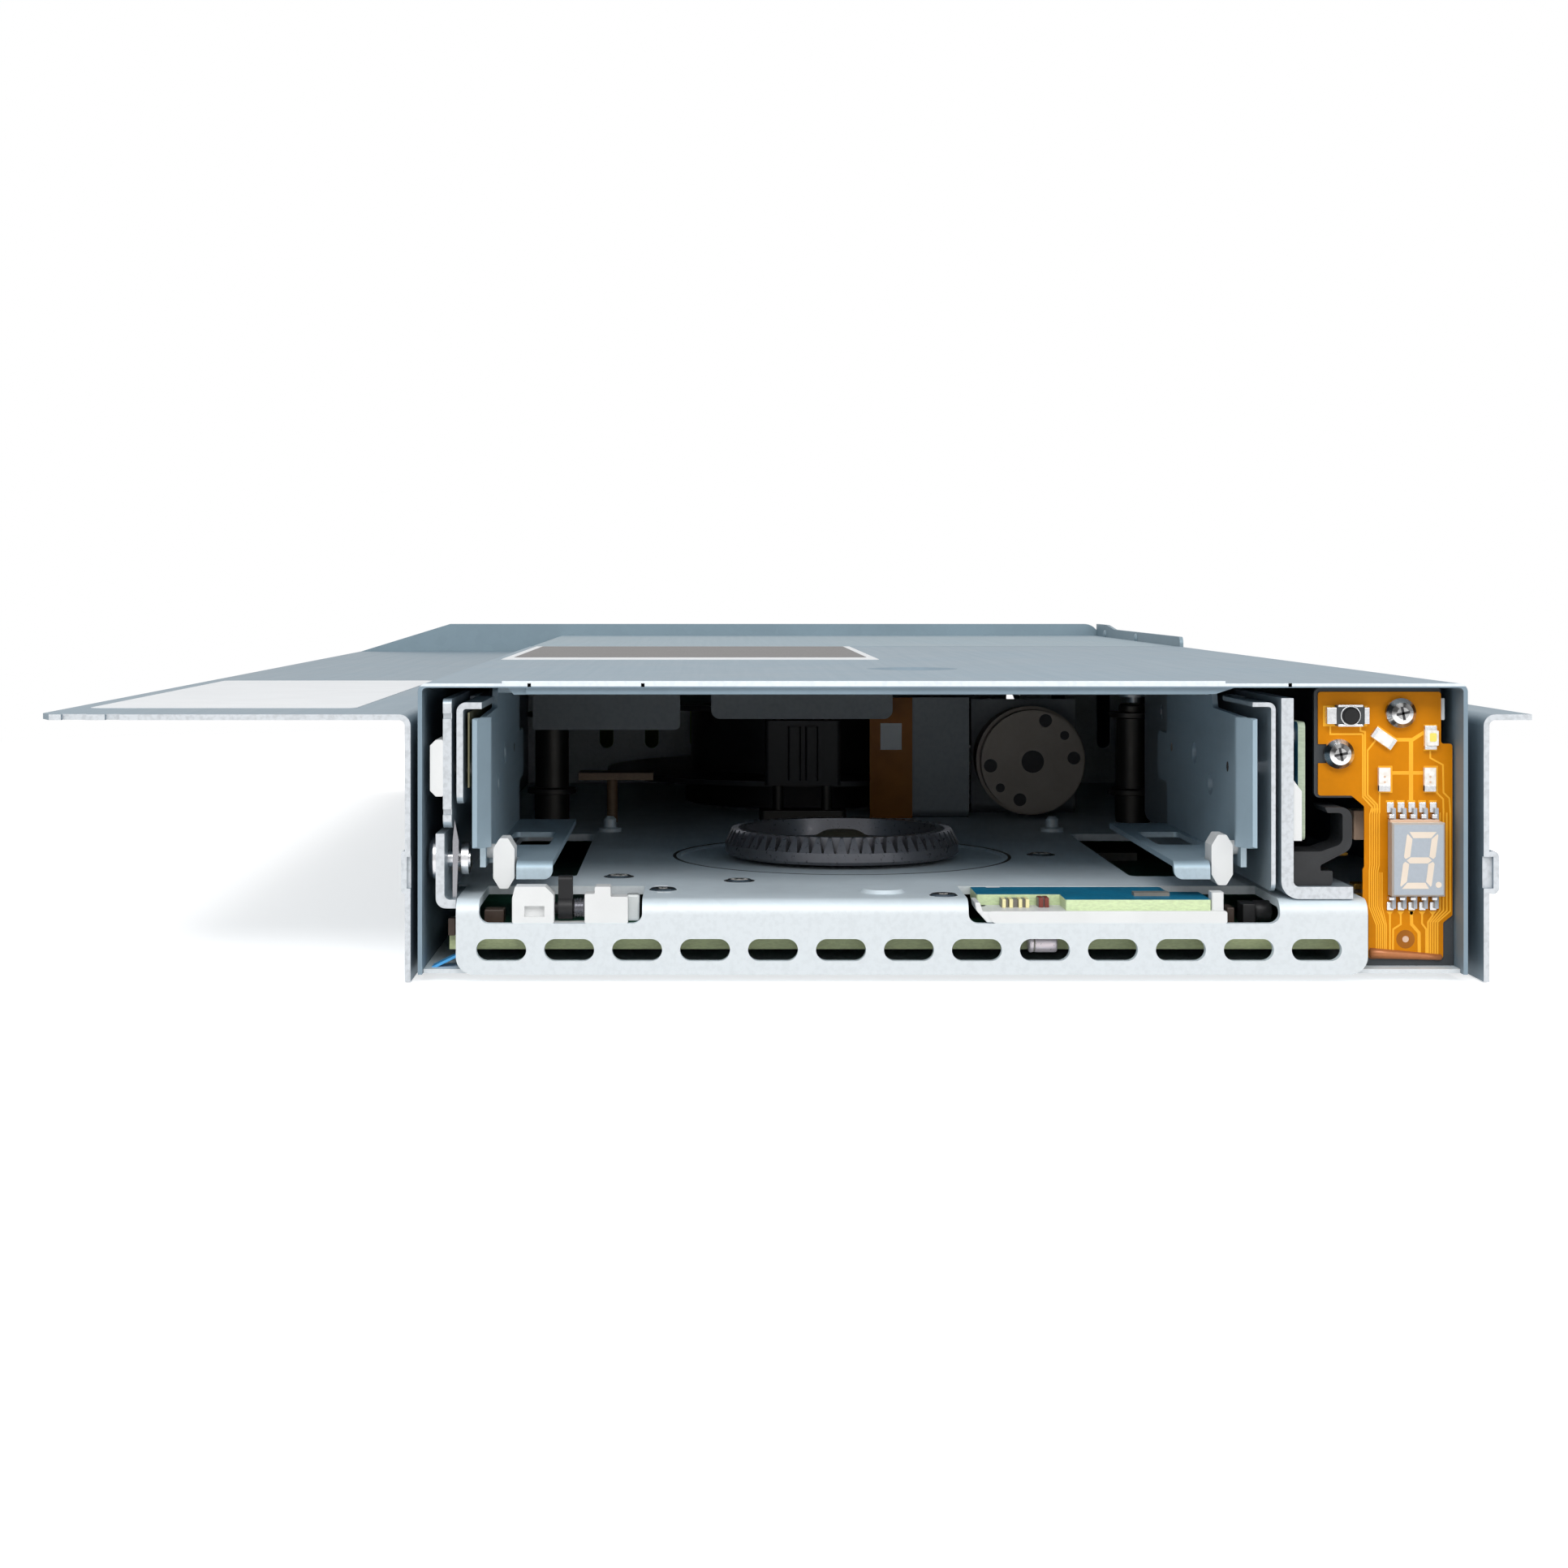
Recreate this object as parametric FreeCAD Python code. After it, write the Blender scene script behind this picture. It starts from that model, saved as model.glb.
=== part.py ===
import FreeCAD, Part
import math
import os
from FreeCAD import Vector

# A half-height data tape drive in its library sled. All sizes are in millimetres.
# Everything is laid out in the drive's own frame: X to the right from the drive's centre, Y back from
# its front edge and Z up from its bottom face. The last lines move it so that the origin lies at the
# middle of the bottom of the whole part.

# ---- drive shell ----
DRIVE_LENGTH = 205.0
COVER_T = 0.6
COVER_EDGE_RISE = 0.34
COVER_EDGE_LAND = 1.2
COVER_EDGE_SLOPE = 3.6
DIMPLE = (0.7, 60.0)
DIMPLE_DIAMETER = 15.0
STIFFENER_DEPTH = 8.0
STIFFENER_T = 1.0
STIFFENER_INSET = 3.2

# ---- sled ----
SLED_T = 0.8
SLED_FLOOR_GAP = 0.2
SLED_LEFT_GAP = 1.0
SLED_RIGHT_GAP = 2.2
SLED_WALL_DROP = 4.3
SLED_LENGTH = 325.0
SLED_FLOOR_SETBACK = 22.0
WING_WIDTH = 52.0
FLANGE_WIDTH = 6.7
SHEET_BEND = 0.8
BUMP_HEIGHT = 6.0
BUMP_Z = 14.2
BUMP_LENGTH = 9.0
BUMP_RECESS = 0.6
LEFT_BUMP_OUT = 0.5
RIGHT_BUMP_OUT = 1.35
SIDE_SCREW_YS = (47.0, 126.25)
SIDE_SCREW_Z = 10.0
SIDE_SCREW = 3.0
SIDE_SCREW_HEAD = 5.6
COLLAR_DIAMETER = 7.0

# ---- rear of the sled ----
HOUSING_T = 0.8
PANEL_T = 1.0
PANEL_RISE = 3.1
PANEL_DIAGONAL = 24.0
PANEL_EAR = 11.0
LIP_RISE = 2.1
LIP_HIGH_LENGTH = 29.0
LIP_SLOPE = 12.0
RIVET = 2.6
RIVETS_FROM_PANEL = (62.0, 15.0)
FAN_MARGIN = 2.25
FAN_DEPTH = 15.0
FAN_X = 38.0
FAN_WALL = 1.0
FAN_HUB = 15.0
FAN_TIP_GAP = 0.6
FAN_BLADES = 7
FAN_BLADE_T = 0.8
FAN_BLADE_TWIST = 38.0
GRILLE_SLOT = 2.6
GRILLE_WEB = 1.6
PORT_WIDTH = 20.0
PORT_HEIGHT = 8.0
PORT_WALL = 0.6
PORT_TONGUE = 1.2
PORT_X = -44.0
PORT_PITCH = 24.0
BOARD_SETBACK = 20.0
INTERFACE_BOARD_T = 1.6
POWER_WIDTH = 16.0
POWER_HEIGHT = 9.0
POWER_X = -6.0
POWER_WALL = 1.2
HANDLE_SPAN = 56.0
HANDLE_X = -34.0
HANDLE_Z = 34.0
HANDLE_REACH = 20.0
HANDLE_ROD = 5.0
THUMB_KNOB = 7.6
THUMB_LENGTH = 12.0
THUMB_THREAD = 3.0
THUMB_REACH = 9.0
THUMB_NECK = 2.2
THUMB_PLAY = 0.4
THUMB_Z = 24.0
THUMB_EDGE = 4.4
EAR_MARGIN = 1.2
EAR_WIDTH = 18.0
EAR_SLOPE = 12.0

# ---- deck ----
DECK_TOP = 10.4
DECK_T = 1.2
DECK_LEFT = 5.3
DECK_RIGHT = 13.9
DECK_BEND = 1.0
DECK_CORNER = 2.5
VENT_SLOTS = 13
VENT_PITCH = 9.45
VENT_WIDTH = 6.96
VENT_HEIGHT = 3.08
VENT_FIRST = 6.3
VENT_Z = 3.43
LEFT_NOTCH_IN = 14.55
LEFT_NOTCH_WIDTH = 22.7
RIGHT_NOTCH_IN = 33.85
RIGHT_NOTCH_WIDTH = 43.3
NOTCH_BOTTOM = 7.1
NOTCH_DEPTH = 16.0
STAKES = ((28.5, 96.0), (-50.0, 96.0))
DECK_SCREW = 4.0
DECK_SCREW_PLACES = ((-46.0, 27.7), (-28.0, 22.5), (21.4, 57.9), (-39.1, 11.8), (0.6, 5.3))

# ---- cartridge, tray and loader ----
CARTRIDGE_WIDTH = 105.4
CARTRIDGE_HEIGHT = 21.5
CARTRIDGE_SIDE_GAP = 0.4
LOADER_ROOM = 9.1
PANEL_ROOM = 30.7
LOAD_TRAVEL = 24.0
TRAY_DROP = 1.5
TRAY_T = 0.8
TRAY_FLOOR = 15.3
TRAY_FRONT = 4.0
TRAY_REAR = 67.0
TRAY_SHELF = 9.4
TRAY_LIP_DROP = 2.5
TRAY_SIDE_DROP = 2.5
TRAY_STEP_Y = 23.5
TRAY_ROOF_REAR = 60.0
TRAY_ROOF_GAP = 1.3
TRAY_TOP_GAP = 1.0
FLARE_OUT = 1.6
FLARE_FRONT = 0.8
FLARE_BOTTOM = 17.4
WINDOW_FRONT = 22.5
WINDOW_LENGTH = 19.0
WINDOW_WIDTH = 6.6
TAB_LENGTH = 8.6
TAB_HEIGHT = 8.0
TAB_Z = 26.0
TRAY_HOLE = 3.3
TRAY_HOLES = ((25.2, 24.5), (37.4, 28.3))
PAD_WIDTH = 3.0
PAD_HEIGHT = 7.1
PAD_DEPTH = 4.6
PAD_STANDOFF = 1.0
PAD_FRONT = 0.6
PIN_DIAMETER = 3.0
PIN_GAP = 0.1
PIN_YS = (13.0, 56.0)
PIN_Z = 28.0

BRACKET_L_GAP = 2.1
BRACKET_L_T = 0.9
BRACKET_R_GAP = 2.8
BRACKET_R_T = 0.6
BRACKET_TOP_GAP = 2.1
BRACKET_L_BOTTOM = 23.6
BRACKET_R_BOTTOM = 11.4
BRACKET_FRONT = 1.0
BRACKET_REAR = 84.0
BRACKET_EAVE = 2.6
BRACKET_EAVE_LENGTH = 20.0
CROSS_ARM = 14.0
SLIDER_GAP = 0.7
SLIDER_T = 1.2
SLIDER_BOTTOM = 20.2
SLIDER_TOP_GAP = 1.6
SLIDER_TRAVEL = 5.0
GLIDE_T = 1.8
GLIDE_LENGTH = 12.0
GLIDE_Z = (24.7, 32.6)
FRAME_L_GAP = 0.2
FRAME_L_T = 1.2
FRAME_L_TOP = 19.5
FRAME_L_BOTTOM = 9.1
FRAME_EAR = 11.0
POST_YS = (50.0, 78.0)
POST_Z = 33.6
POST_DIAMETER = 2.5
FRAME_R_GAP = 0.8
FRAME_R_T = 1.7
FRAME_R_TOP_GAP = 1.5
FRAME_FRONT = 1.0
FRAME_REAR = 109.0
FRAME_R_FOOT = 8.3
GUIDE_YS = (11.0, 68.0)
GUIDE_Z = 31.8
STOP_SCREW = (6.5, 15.5)

# ---- reel drive and tape path ----
REEL_OFF_CENTRE = 0.2
REEL_Y = 57.0
GEAR_DIAMETER = 37.7
GEAR_TEETH = 60
GEAR_TOOTH_DEPTH = 2.3
GEAR_TOOTH_SPACE = 1.4
GEAR_TOOTH_LENGTH = 2.2
GEAR_BASE = 10.75
GEAR_TOP = 14.95
GEAR_WALL = 3.4
GEAR_BEVEL = 1.1
GEAR_WEB = 1.5
HUB_DIAMETER = 11.0
HUB_HEIGHT = 2.0
MOTOR_DIAMETER = 46.0
SHAFT = 4.0
RUNNING_GAP = 0.05
DECK_RECESS = 52.0
DECK_RECESS_DEPTH = 0.35
TAKEUP = (-14.0, 163.0)
TAKEUP_DIAMETER = 78.0
TAKEUP_HUB = 44.0
TAKEUP_FLANGE_T = 1.0
TAKEUP_BOTTOM = 16.0
TAPE_GAP = 13.0
ROLLER_DIAMETER = 9.0
ROLLER_LEFT = (-61.6, 116.5)
ROLLER_RIGHT = (46.0, 114.2)
ROLLER_LOW = 15.6
HEAD_X = -15.0
HEAD_Y = 117.0
HEAD_WIDTH = 14.0
HEAD_DEPTH = 5.4
HEAD_HEIGHT = 12.0
HEAD_LOW = 17.0
HEAD_TRAVEL = 3.5
HEAD_ROD = 2.0
HEAD_ROD_SPAN = 9.0
HEAD_PLATE_Y = 121.5
HEAD_PLATE_TOP = 33.0
HEAD_PLATE_X = (2.0, 16.5)
HEAD_FLEX_X = (-2.2, 5.8)
SHIELD_X = (-32.0, 1.4)
SHIELD_Y = 112.0
SHIELD_DROP = 10.4
LOADER_MOTOR = (28.0, 21.2)
LOADER_MOTOR_DIAMETER = 19.2
LOADER_MOTOR_Y = (118.0, 132.0)
PATH_BOARD_X = (-56.4, -42.7)
PATH_BOARD_Y = (111.0, 118.0)
PATH_BOARD_Z = 18.3
PATH_BOARD_T = 1.3
ARM_PIVOT = (57.0, 150.0)
ARM_REACH = 38.0
ARM_Z = 33.4
ARM_T = 1.2
ARM_CLAW = 1.0
ARM_REST_ANGLE = 253.0

# ---- boards ----
BOARD_T = 2.0
LOGIC_BOARD_BOTTOM = 2.95
LOGIC_BOARD_FRONT = 4.2
CAN_DIAMETER = 2.4
CAN_LENGTH = 3.7
SENSOR_BOARD_T = 1.5
SENSOR_BOARD_WIDTH = 32.05
SENSOR_BOARD_IN = 1.85
SENSOR_BOARD_NOTCH = 11.8
HOLDER_T = 1.7
SIDE_BOARD_T = 1.0
SIDE_BOARD_OFF = 0.85
SIDE_BOARD_FRONT = 2.0
SIDE_BOARD_PAD = 3.0
SIDE_BOARD_LENGTH = 38.0
SIDE_BOARD_Z = (18.5, 35.0)
CONNECTOR_HEIGHT = 8.5
HOOK_BASE = 5.6
HOOK_NECK = 3.9
HOOK_REACH = 8.3
HOOK_ARM = 1.3
HOOK_HEIGHT = 11.0
HOOK_Y = (2.0, 9.0)

# ---- operator panel ----
FLEX_T = 0.25
FLEX_Y = 4.2
FLEX_STEP = (1.6, 7.3)
FLEX_SLOT = 2.7
FLEX_WIDTH = 18.9
FLEX_TOP_GAP = 0.75
FLEX_BOTTOM = 1.6
FLEX_SIDE_GAP = 0.3
BACKING_T = 0.8
DISPLAY_WIDTH = 7.4
DISPLAY_HEIGHT = 10.3
DISPLAY_DEPTH = 2.6
DISPLAY_PINS = 5
DISPLAY_PIN_PITCH = 1.5
LAMP = (1.6, 3.3)
LAMP_T = 0.7
SWITCH_DEPTH = 1.3
BUTTON = 2.5
BUTTON_SEAT = 0.7
BUTTON_TRAVEL = 0.25
PANEL_SCREW_HEAD = 4.2

# ---- sense switch in the left notch ----
BLOCK_TOP = 12.2
LEVER_AXIS = (3.2, 8.9)
LEVER_SHAFT = 1.6
LEVER_LENGTH = 4.6
LEVER_WIDTH = 2.0
SPRING_WIRE = 0.4
SPRING_TURNS = 4

# ---- places worked out from the sizes above ----
BAY_HALF = CARTRIDGE_WIDTH / 2 + CARTRIDGE_SIDE_GAP
DRIVE_WIDTH = LOADER_ROOM + 2 * BAY_HALF + PANEL_ROOM
TRAY_ROOF = TRAY_FLOOR + CARTRIDGE_HEIGHT + TRAY_ROOF_GAP
TRAY_SIDE_TOP = TRAY_ROOF - TRAY_SIDE_DROP
TRAY_UNDER = TRAY_FLOOR - TRAY_T
DRIVE_HEIGHT = TRAY_ROOF + TRAY_T + TRAY_TOP_GAP + COVER_T
HALF = DRIVE_WIDTH / 2
LOADER_X = LOADER_ROOM + BAY_HALF - HALF
INNER = HALF - COVER_T
COVER_UNDER = DRIVE_HEIGHT - COVER_T
SLED_WALL_TOP = DRIVE_HEIGHT - SLED_WALL_DROP
SLED_FLOOR_TOP = -SLED_FLOOR_GAP
SLED_BOTTOM = SLED_FLOOR_TOP - SLED_T
SLED_LEFT_IN = -HALF - SLED_LEFT_GAP
SLED_RIGHT_IN = HALF + SLED_RIGHT_GAP
SLED_LEFT_OUT = SLED_LEFT_IN - SLED_T
SLED_RIGHT_OUT = SLED_RIGHT_IN + SLED_T
WING_EDGE = SLED_LEFT_IN - WING_WIDTH
FLANGE_EDGE = SLED_RIGHT_IN + FLANGE_WIDTH
PANEL_FRONT = SLED_LENGTH - PANEL_T
PANEL_TOP = DRIVE_HEIGHT + PANEL_RISE
PANEL_RIGHT = HALF + PANEL_EAR
REAR_MIDDLE = DRIVE_HEIGHT / 2
REAR_TIP = SLED_LENGTH + max(HANDLE_REACH + HANDLE_ROD / 2, THUMB_LENGTH)
FAN_SIZE = DRIVE_HEIGHT - 2 * FAN_MARGIN
FAN_CENTRE = (FAN_X, REAR_MIDDLE - 1.0)
PORT_XS = (PORT_X - PORT_PITCH / 2, PORT_X + PORT_PITCH / 2)
PORT_Z = (REAR_MIDDLE - PORT_HEIGHT / 2 - 4, REAR_MIDDLE + PORT_HEIGHT / 2 - 4)
POWER_Z = (REAR_MIDDLE - POWER_HEIGHT / 2 - 4, REAR_MIDDLE + POWER_HEIGHT / 2 - 4)
THUMB_XS = (WING_EDGE + THUMB_EDGE + 8, PANEL_RIGHT - THUMB_EDGE)

DECK_UNDER = DECK_TOP - DECK_T
DECK_X = (-HALF + DECK_LEFT, HALF - DECK_RIGHT)
DECK_REAR = DRIVE_LENGTH - COVER_T - 0.1
LEFT_NOTCH_X = DECK_X[0] + LEFT_NOTCH_IN
RIGHT_NOTCH_X = DECK_X[1] - RIGHT_NOTCH_IN
REEL = (LOADER_X - REEL_OFF_CENTRE, REEL_Y)

TRAY_IN = (LOADER_X - BAY_HALF, LOADER_X + BAY_HALF)
TRAY_OUT = (TRAY_IN[0] - TRAY_T, TRAY_IN[1] + TRAY_T)
SLOT_Y = (TRAY_FRONT + LOAD_TRAVEL, TRAY_REAR + LOAD_TRAVEL)

BRACKET_TOP = COVER_UNDER - BRACKET_TOP_GAP
SLIDER_TOP = COVER_UNDER - SLIDER_TOP_GAP
FRAME_R_TOP = COVER_UNDER - FRAME_R_TOP_GAP
BRACKET_L = (TRAY_OUT[0] - BRACKET_L_GAP - BRACKET_L_T, TRAY_OUT[0] - BRACKET_L_GAP)
BRACKET_R = (TRAY_OUT[1] + BRACKET_R_GAP, TRAY_OUT[1] + BRACKET_R_GAP + BRACKET_R_T)
SLIDER = (BRACKET_L[0] - SLIDER_GAP - SLIDER_T, BRACKET_L[0] - SLIDER_GAP)
FRAME_L = (SLIDER[0] + FRAME_L_GAP - FRAME_L_T, SLIDER[0] + FRAME_L_GAP)
FRAME_R = (BRACKET_R[1] + FRAME_R_GAP, BRACKET_R[1] + FRAME_R_GAP + FRAME_R_T)
PIN_HOLE = PIN_DIAMETER + 2 * PIN_GAP
POST_HOLE = POST_DIAMETER + 2 * PIN_GAP

LOGIC_BOARD_TOP = LOGIC_BOARD_BOTTOM + BOARD_T
SENSOR_BOARD_BOTTOM = NOTCH_BOTTOM + HOLDER_T
SENSOR_BOARD_LEFT = RIGHT_NOTCH_X - RIGHT_NOTCH_WIDTH / 2 + SENSOR_BOARD_IN
SENSOR_BOARD_X = (SENSOR_BOARD_LEFT, SENSOR_BOARD_LEFT + SENSOR_BOARD_WIDTH)
FLEX_TOP = COVER_UNDER - FLEX_TOP_GAP
FLEX_X = (INNER - FLEX_SIDE_GAP - FLEX_WIDTH, INNER - FLEX_SIDE_GAP)
BACKING_Y = (FLEX_Y + FLEX_T, FLEX_Y + FLEX_T + BACKING_T)
COVER_FLOOR = COVER_T


# ---- building helpers ----
def block(x, y, z):
    """A box between pairs of limits."""
    return Part.makeBox(x[1] - x[0], y[1] - y[0], z[1] - z[0], Vector(x[0], y[0], z[0]))


def rod(axis, centre, span, diameter):
    """A cylinder along an axis; centre holds the other two coordinates in order."""
    low, high = span
    base = {"x": Vector(low, *centre), "y": Vector(centre[0], low, centre[1]), "z": Vector(*centre, low)}
    way = {"x": Vector(1, 0, 0), "y": Vector(0, 1, 0), "z": Vector(0, 0, 1)}
    return Part.makeCylinder(diameter / 2, high - low, base[axis], way[axis])


def place(plane, a, b, c):
    """The point (a, b) of a drawing plane, at height c above it."""
    return {"xy": Vector(a, b, c), "xz": Vector(a, c, b), "yz": Vector(c, a, b)}[plane]


def outline(plane, points, height, radii):
    """A closed wire through 2-D points with each corner rounded by its radius."""
    count = len(points)
    corners = []
    for i, (px, py) in enumerate(points):
        ax, ay = points[i - 1]
        bx, by = points[(i + 1) % count]
        radius = radii[i]
        to_a, to_b = math.hypot(ax - px, ay - py), math.hypot(bx - px, by - py)
        ux, uy = (ax - px) / to_a, (ay - py) / to_a
        vx, vy = (bx - px) / to_b, (by - py) / to_b
        half = math.acos(max(-1.0, min(1.0, ux * vx + uy * vy))) / 2
        if radius <= 0 or half > math.pi / 2 - 1e-4:
            corners.append(((px, py), None, (px, py)))
            continue
        cut = min(radius / math.tan(half), 0.499 * to_a, 0.499 * to_b)
        radius = cut * math.tan(half)
        bis = math.hypot(ux + vx, uy + vy)
        reach = radius / math.sin(half) - radius
        middle = (px + (ux + vx) / bis * reach, py + (uy + vy) / bis * reach)
        corners.append(((px + ux * cut, py + uy * cut), middle, (px + vx * cut, py + vy * cut)))
    edges = []
    for i, (start, middle, end) in enumerate(corners):
        if middle:
            arc = [place(plane, *p, height) for p in (start, middle, end)]
            edges.append(Part.Arc(*arc).toShape())
        following = corners[(i + 1) % count][0]
        line = place(plane, *end, height), place(plane, *following, height)
        if (line[1] - line[0]).Length > 1e-6:
            edges.append(Part.makeLine(*line))
    return Part.Wire(edges)


def prism(plane, points, span, radius=0.0, radii=None):
    """An outline with rounded corners, extruded square to its plane between two heights."""
    radii = radii or [radius] * len(points)
    face = Part.Face(outline(plane, points, span[0], radii))
    solid = face.extrude(place(plane, 0, 0, span[1] - span[0]))
    return solid.reversed() if solid.Volume < 0 else solid


def pill(plane, centre, size, span):
    """A rounded bar or slot: the short side is a half circle at each end."""
    (cx, cy), (w, h) = centre, (size[0] / 2, size[1] / 2)
    corners = [(cx - w, cy - h), (cx + w, cy - h), (cx + w, cy + h), (cx - w, cy + h)]
    return prism(plane, corners, span, radius=0.998 * min(w, h))


def rounded_box(plane, a, b, span, radius):
    """A box with its four edges square to the plane rounded."""
    corners = [(a[0], b[0]), (a[1], b[0]), (a[1], b[1]), (a[0], b[1])]
    return prism(plane, corners, span, radius=radius)


def sheet(plane, path, thickness, span, bend):
    """A bent sheet: path is one face of it, and the sheet lies to the left of the path."""
    normals = []
    for (ax, ay), (bx, by) in zip(path, path[1:]):
        size = math.hypot(bx - ax, by - ay)
        normals.append((-(by - ay) / size, (bx - ax) / size))
    other, near_radii, far_radii = [], [], []
    for i, (px, py) in enumerate(path):
        first, second = normals[max(i - 1, 0)], normals[min(i, len(normals) - 1)]
        mitre = 1 + first[0] * second[0] + first[1] * second[1]
        shift = thickness / mitre
        other.append((px + (first[0] + second[0]) * shift, py + (first[1] + second[1]) * shift))
        turn = first[0] * second[1] - first[1] * second[0]
        near_radii.append(0 if abs(turn) < 1e-6 else bend + (thickness if turn > 0 else 0))
        far_radii.append(0 if abs(turn) < 1e-6 else bend + (0 if turn > 0 else thickness))
    points = list(path) + other[::-1]
    return prism(plane, points, span, radii=near_radii + far_radii[::-1])


def joined(first, *others):
    """One solid out of shapes that touch or overlap."""
    return first.multiFuse(list(others)).removeSplitter()


def cut_all(body, cutters):
    """The body less each of the cutters."""
    for cutter in cutters:
        body = body.cut(cutter)
    return body


def around(shape, centre, count, axis=Vector(0, 0, 1)):
    """Copies of a shape turned evenly about an axis."""
    copies = []
    for i in range(count):
        turned = shape.copy()
        turned.rotate(centre, axis, 360.0 * i / count)
        copies.append(turned)
    return copies


def turned(axis, centre, profile):
    """A solid of revolution: the profile holds (radius, height) points, with heights along the axis."""
    def point(radius, height):
        return {"x": Vector(height, centre[0] + radius, centre[1]),
                "y": Vector(centre[0] + radius, height, centre[1]),
                "z": Vector(centre[0] + radius, centre[1], height)}[axis]
    spots = [point(*p) for p in profile]
    edges = [Part.makeLine(a, b) for a, b in zip(spots, spots[1:] + spots[:1])]
    way = {"x": Vector(1, 0, 0), "y": Vector(0, 1, 0), "z": Vector(0, 0, 1)}[axis]
    solid = Part.Face(Part.Wire(edges)).revolve(point(0, 0), way, 360)
    return solid.reversed() if solid.Volume < 0 else solid


def pan_screw(axis, centre, seat, way, head, thread, length):
    """A pan-head screw: its head stands off the seat and its thread goes the other way."""
    tall = 0.42 * head
    profile = [(0, -length), (thread / 2, -length), (thread / 2, 0), (head / 2, 0),
               (head / 2, 0.45 * tall), (0.36 * head, 0.85 * tall), (0.2 * head, tall), (0, tall)]
    return turned(axis, centre, [(r, seat + way * h) for r, h in profile])


def flush_screw(axis, centre, seat, way, head, thread, length):
    """A countersunk screw whose head lies a little proud of the seat."""
    proud = 0.06 * head
    profile = [(0, -length), (thread / 2, -length), (thread / 2, 0), (head / 2, 0),
               (0.42 * head, proud), (0, proud)]
    return turned(axis, centre, [(r, seat + way * h) for r, h in profile])


# ---- the sled ----
def sled():
    """One bent sheet: the floor, two walls with pressed collars, the wing and the flange."""
    path = [(FLANGE_EDGE, SLED_WALL_TOP), (SLED_RIGHT_IN, SLED_WALL_TOP), (SLED_RIGHT_IN, SLED_FLOOR_TOP),
            (SLED_LEFT_IN, SLED_FLOOR_TOP), (SLED_LEFT_IN, SLED_WALL_TOP), (WING_EDGE, SLED_WALL_TOP)]
    body = sheet("xz", path, SLED_T, (0, PANEL_FRONT), SHEET_BEND)
    across = (SLED_LEFT_OUT - 1, SLED_RIGHT_OUT + 1)
    foot_top = SLED_FLOOR_TOP + SHEET_BEND + SLED_T
    body = body.cut(block(across, (-1, SLED_FLOOR_SETBACK), (SLED_BOTTOM - 1, foot_top)))
    cheek_y, cheek_z = (0, SLED_FLOOR_SETBACK - 0.5), (SLED_BOTTOM, foot_top + 1)
    cheeks = [block((SLED_LEFT_OUT, SLED_LEFT_IN), cheek_y, cheek_z),
              block((SLED_RIGHT_IN, SLED_RIGHT_OUT), cheek_y, cheek_z)]
    bump_z = (BUMP_Z - BUMP_HEIGHT / 2, BUMP_Z + BUMP_HEIGHT / 2)
    left_x, right_x = SLED_LEFT_OUT - LEFT_BUMP_OUT, SLED_RIGHT_OUT + RIGHT_BUMP_OUT
    bumps = [rounded_box("xz", (left_x, SLED_LEFT_OUT + SLED_T / 2), bump_z, (0, BUMP_LENGTH), LEFT_BUMP_OUT),
             rounded_box("xz", (SLED_RIGHT_OUT - SLED_T / 2, right_x), bump_z, (0, BUMP_LENGTH),
                         RIGHT_BUMP_OUT)]
    body = joined(body, *cheeks, *bumps)
    recess_y, recess_z = (-1, BUMP_RECESS), (bump_z[0] + SLED_T, bump_z[1] - SLED_T)
    cutters = [block((left_x + SLED_T, SLED_LEFT_IN + 1), recess_y, recess_z),
               block((SLED_RIGHT_IN - 1, right_x - SLED_T), recess_y, recess_z)]
    corner = [(WING_EDGE - 1, -1), (WING_EDGE + 2.2, -1), (WING_EDGE, 3.4), (WING_EDGE - 1, 3.4)]
    cutters.append(prism("xy", corner, (0, DRIVE_HEIGHT)))
    for start, width in ((3.4, 3.4), (9.5, 2.0)):
        edge = (WING_EDGE + start, WING_EDGE + start + width)
        cutters.append(block(edge, (-1, 0.8), (0, DRIVE_HEIGHT)))
    collars = []
    for y in SIDE_SCREW_YS:
        cutters.append(rod("x", (y, SIDE_SCREW_Z), across, SIDE_SCREW))
        for span in ((SLED_LEFT_IN, -HALF), (HALF, SLED_RIGHT_IN)):
            collars.append(rod("x", (y, SIDE_SCREW_Z), span, COLLAR_DIAMETER))
    return cut_all(joined(body, *collars), cutters)


def side_screws():
    screws = []
    for y in SIDE_SCREW_YS:
        where = (y, SIDE_SCREW_Z)
        left_grip = SLED_T + SLED_LEFT_GAP + COVER_T
        right_grip = SLED_T + SLED_RIGHT_GAP + COVER_T
        screws.append(pan_screw("x", where, SLED_LEFT_OUT, -1, SIDE_SCREW_HEAD, SIDE_SCREW, left_grip))
        screws.append(pan_screw("x", where, SLED_RIGHT_OUT, 1, SIDE_SCREW_HEAD, SIDE_SCREW, right_grip))
    return screws


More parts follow.
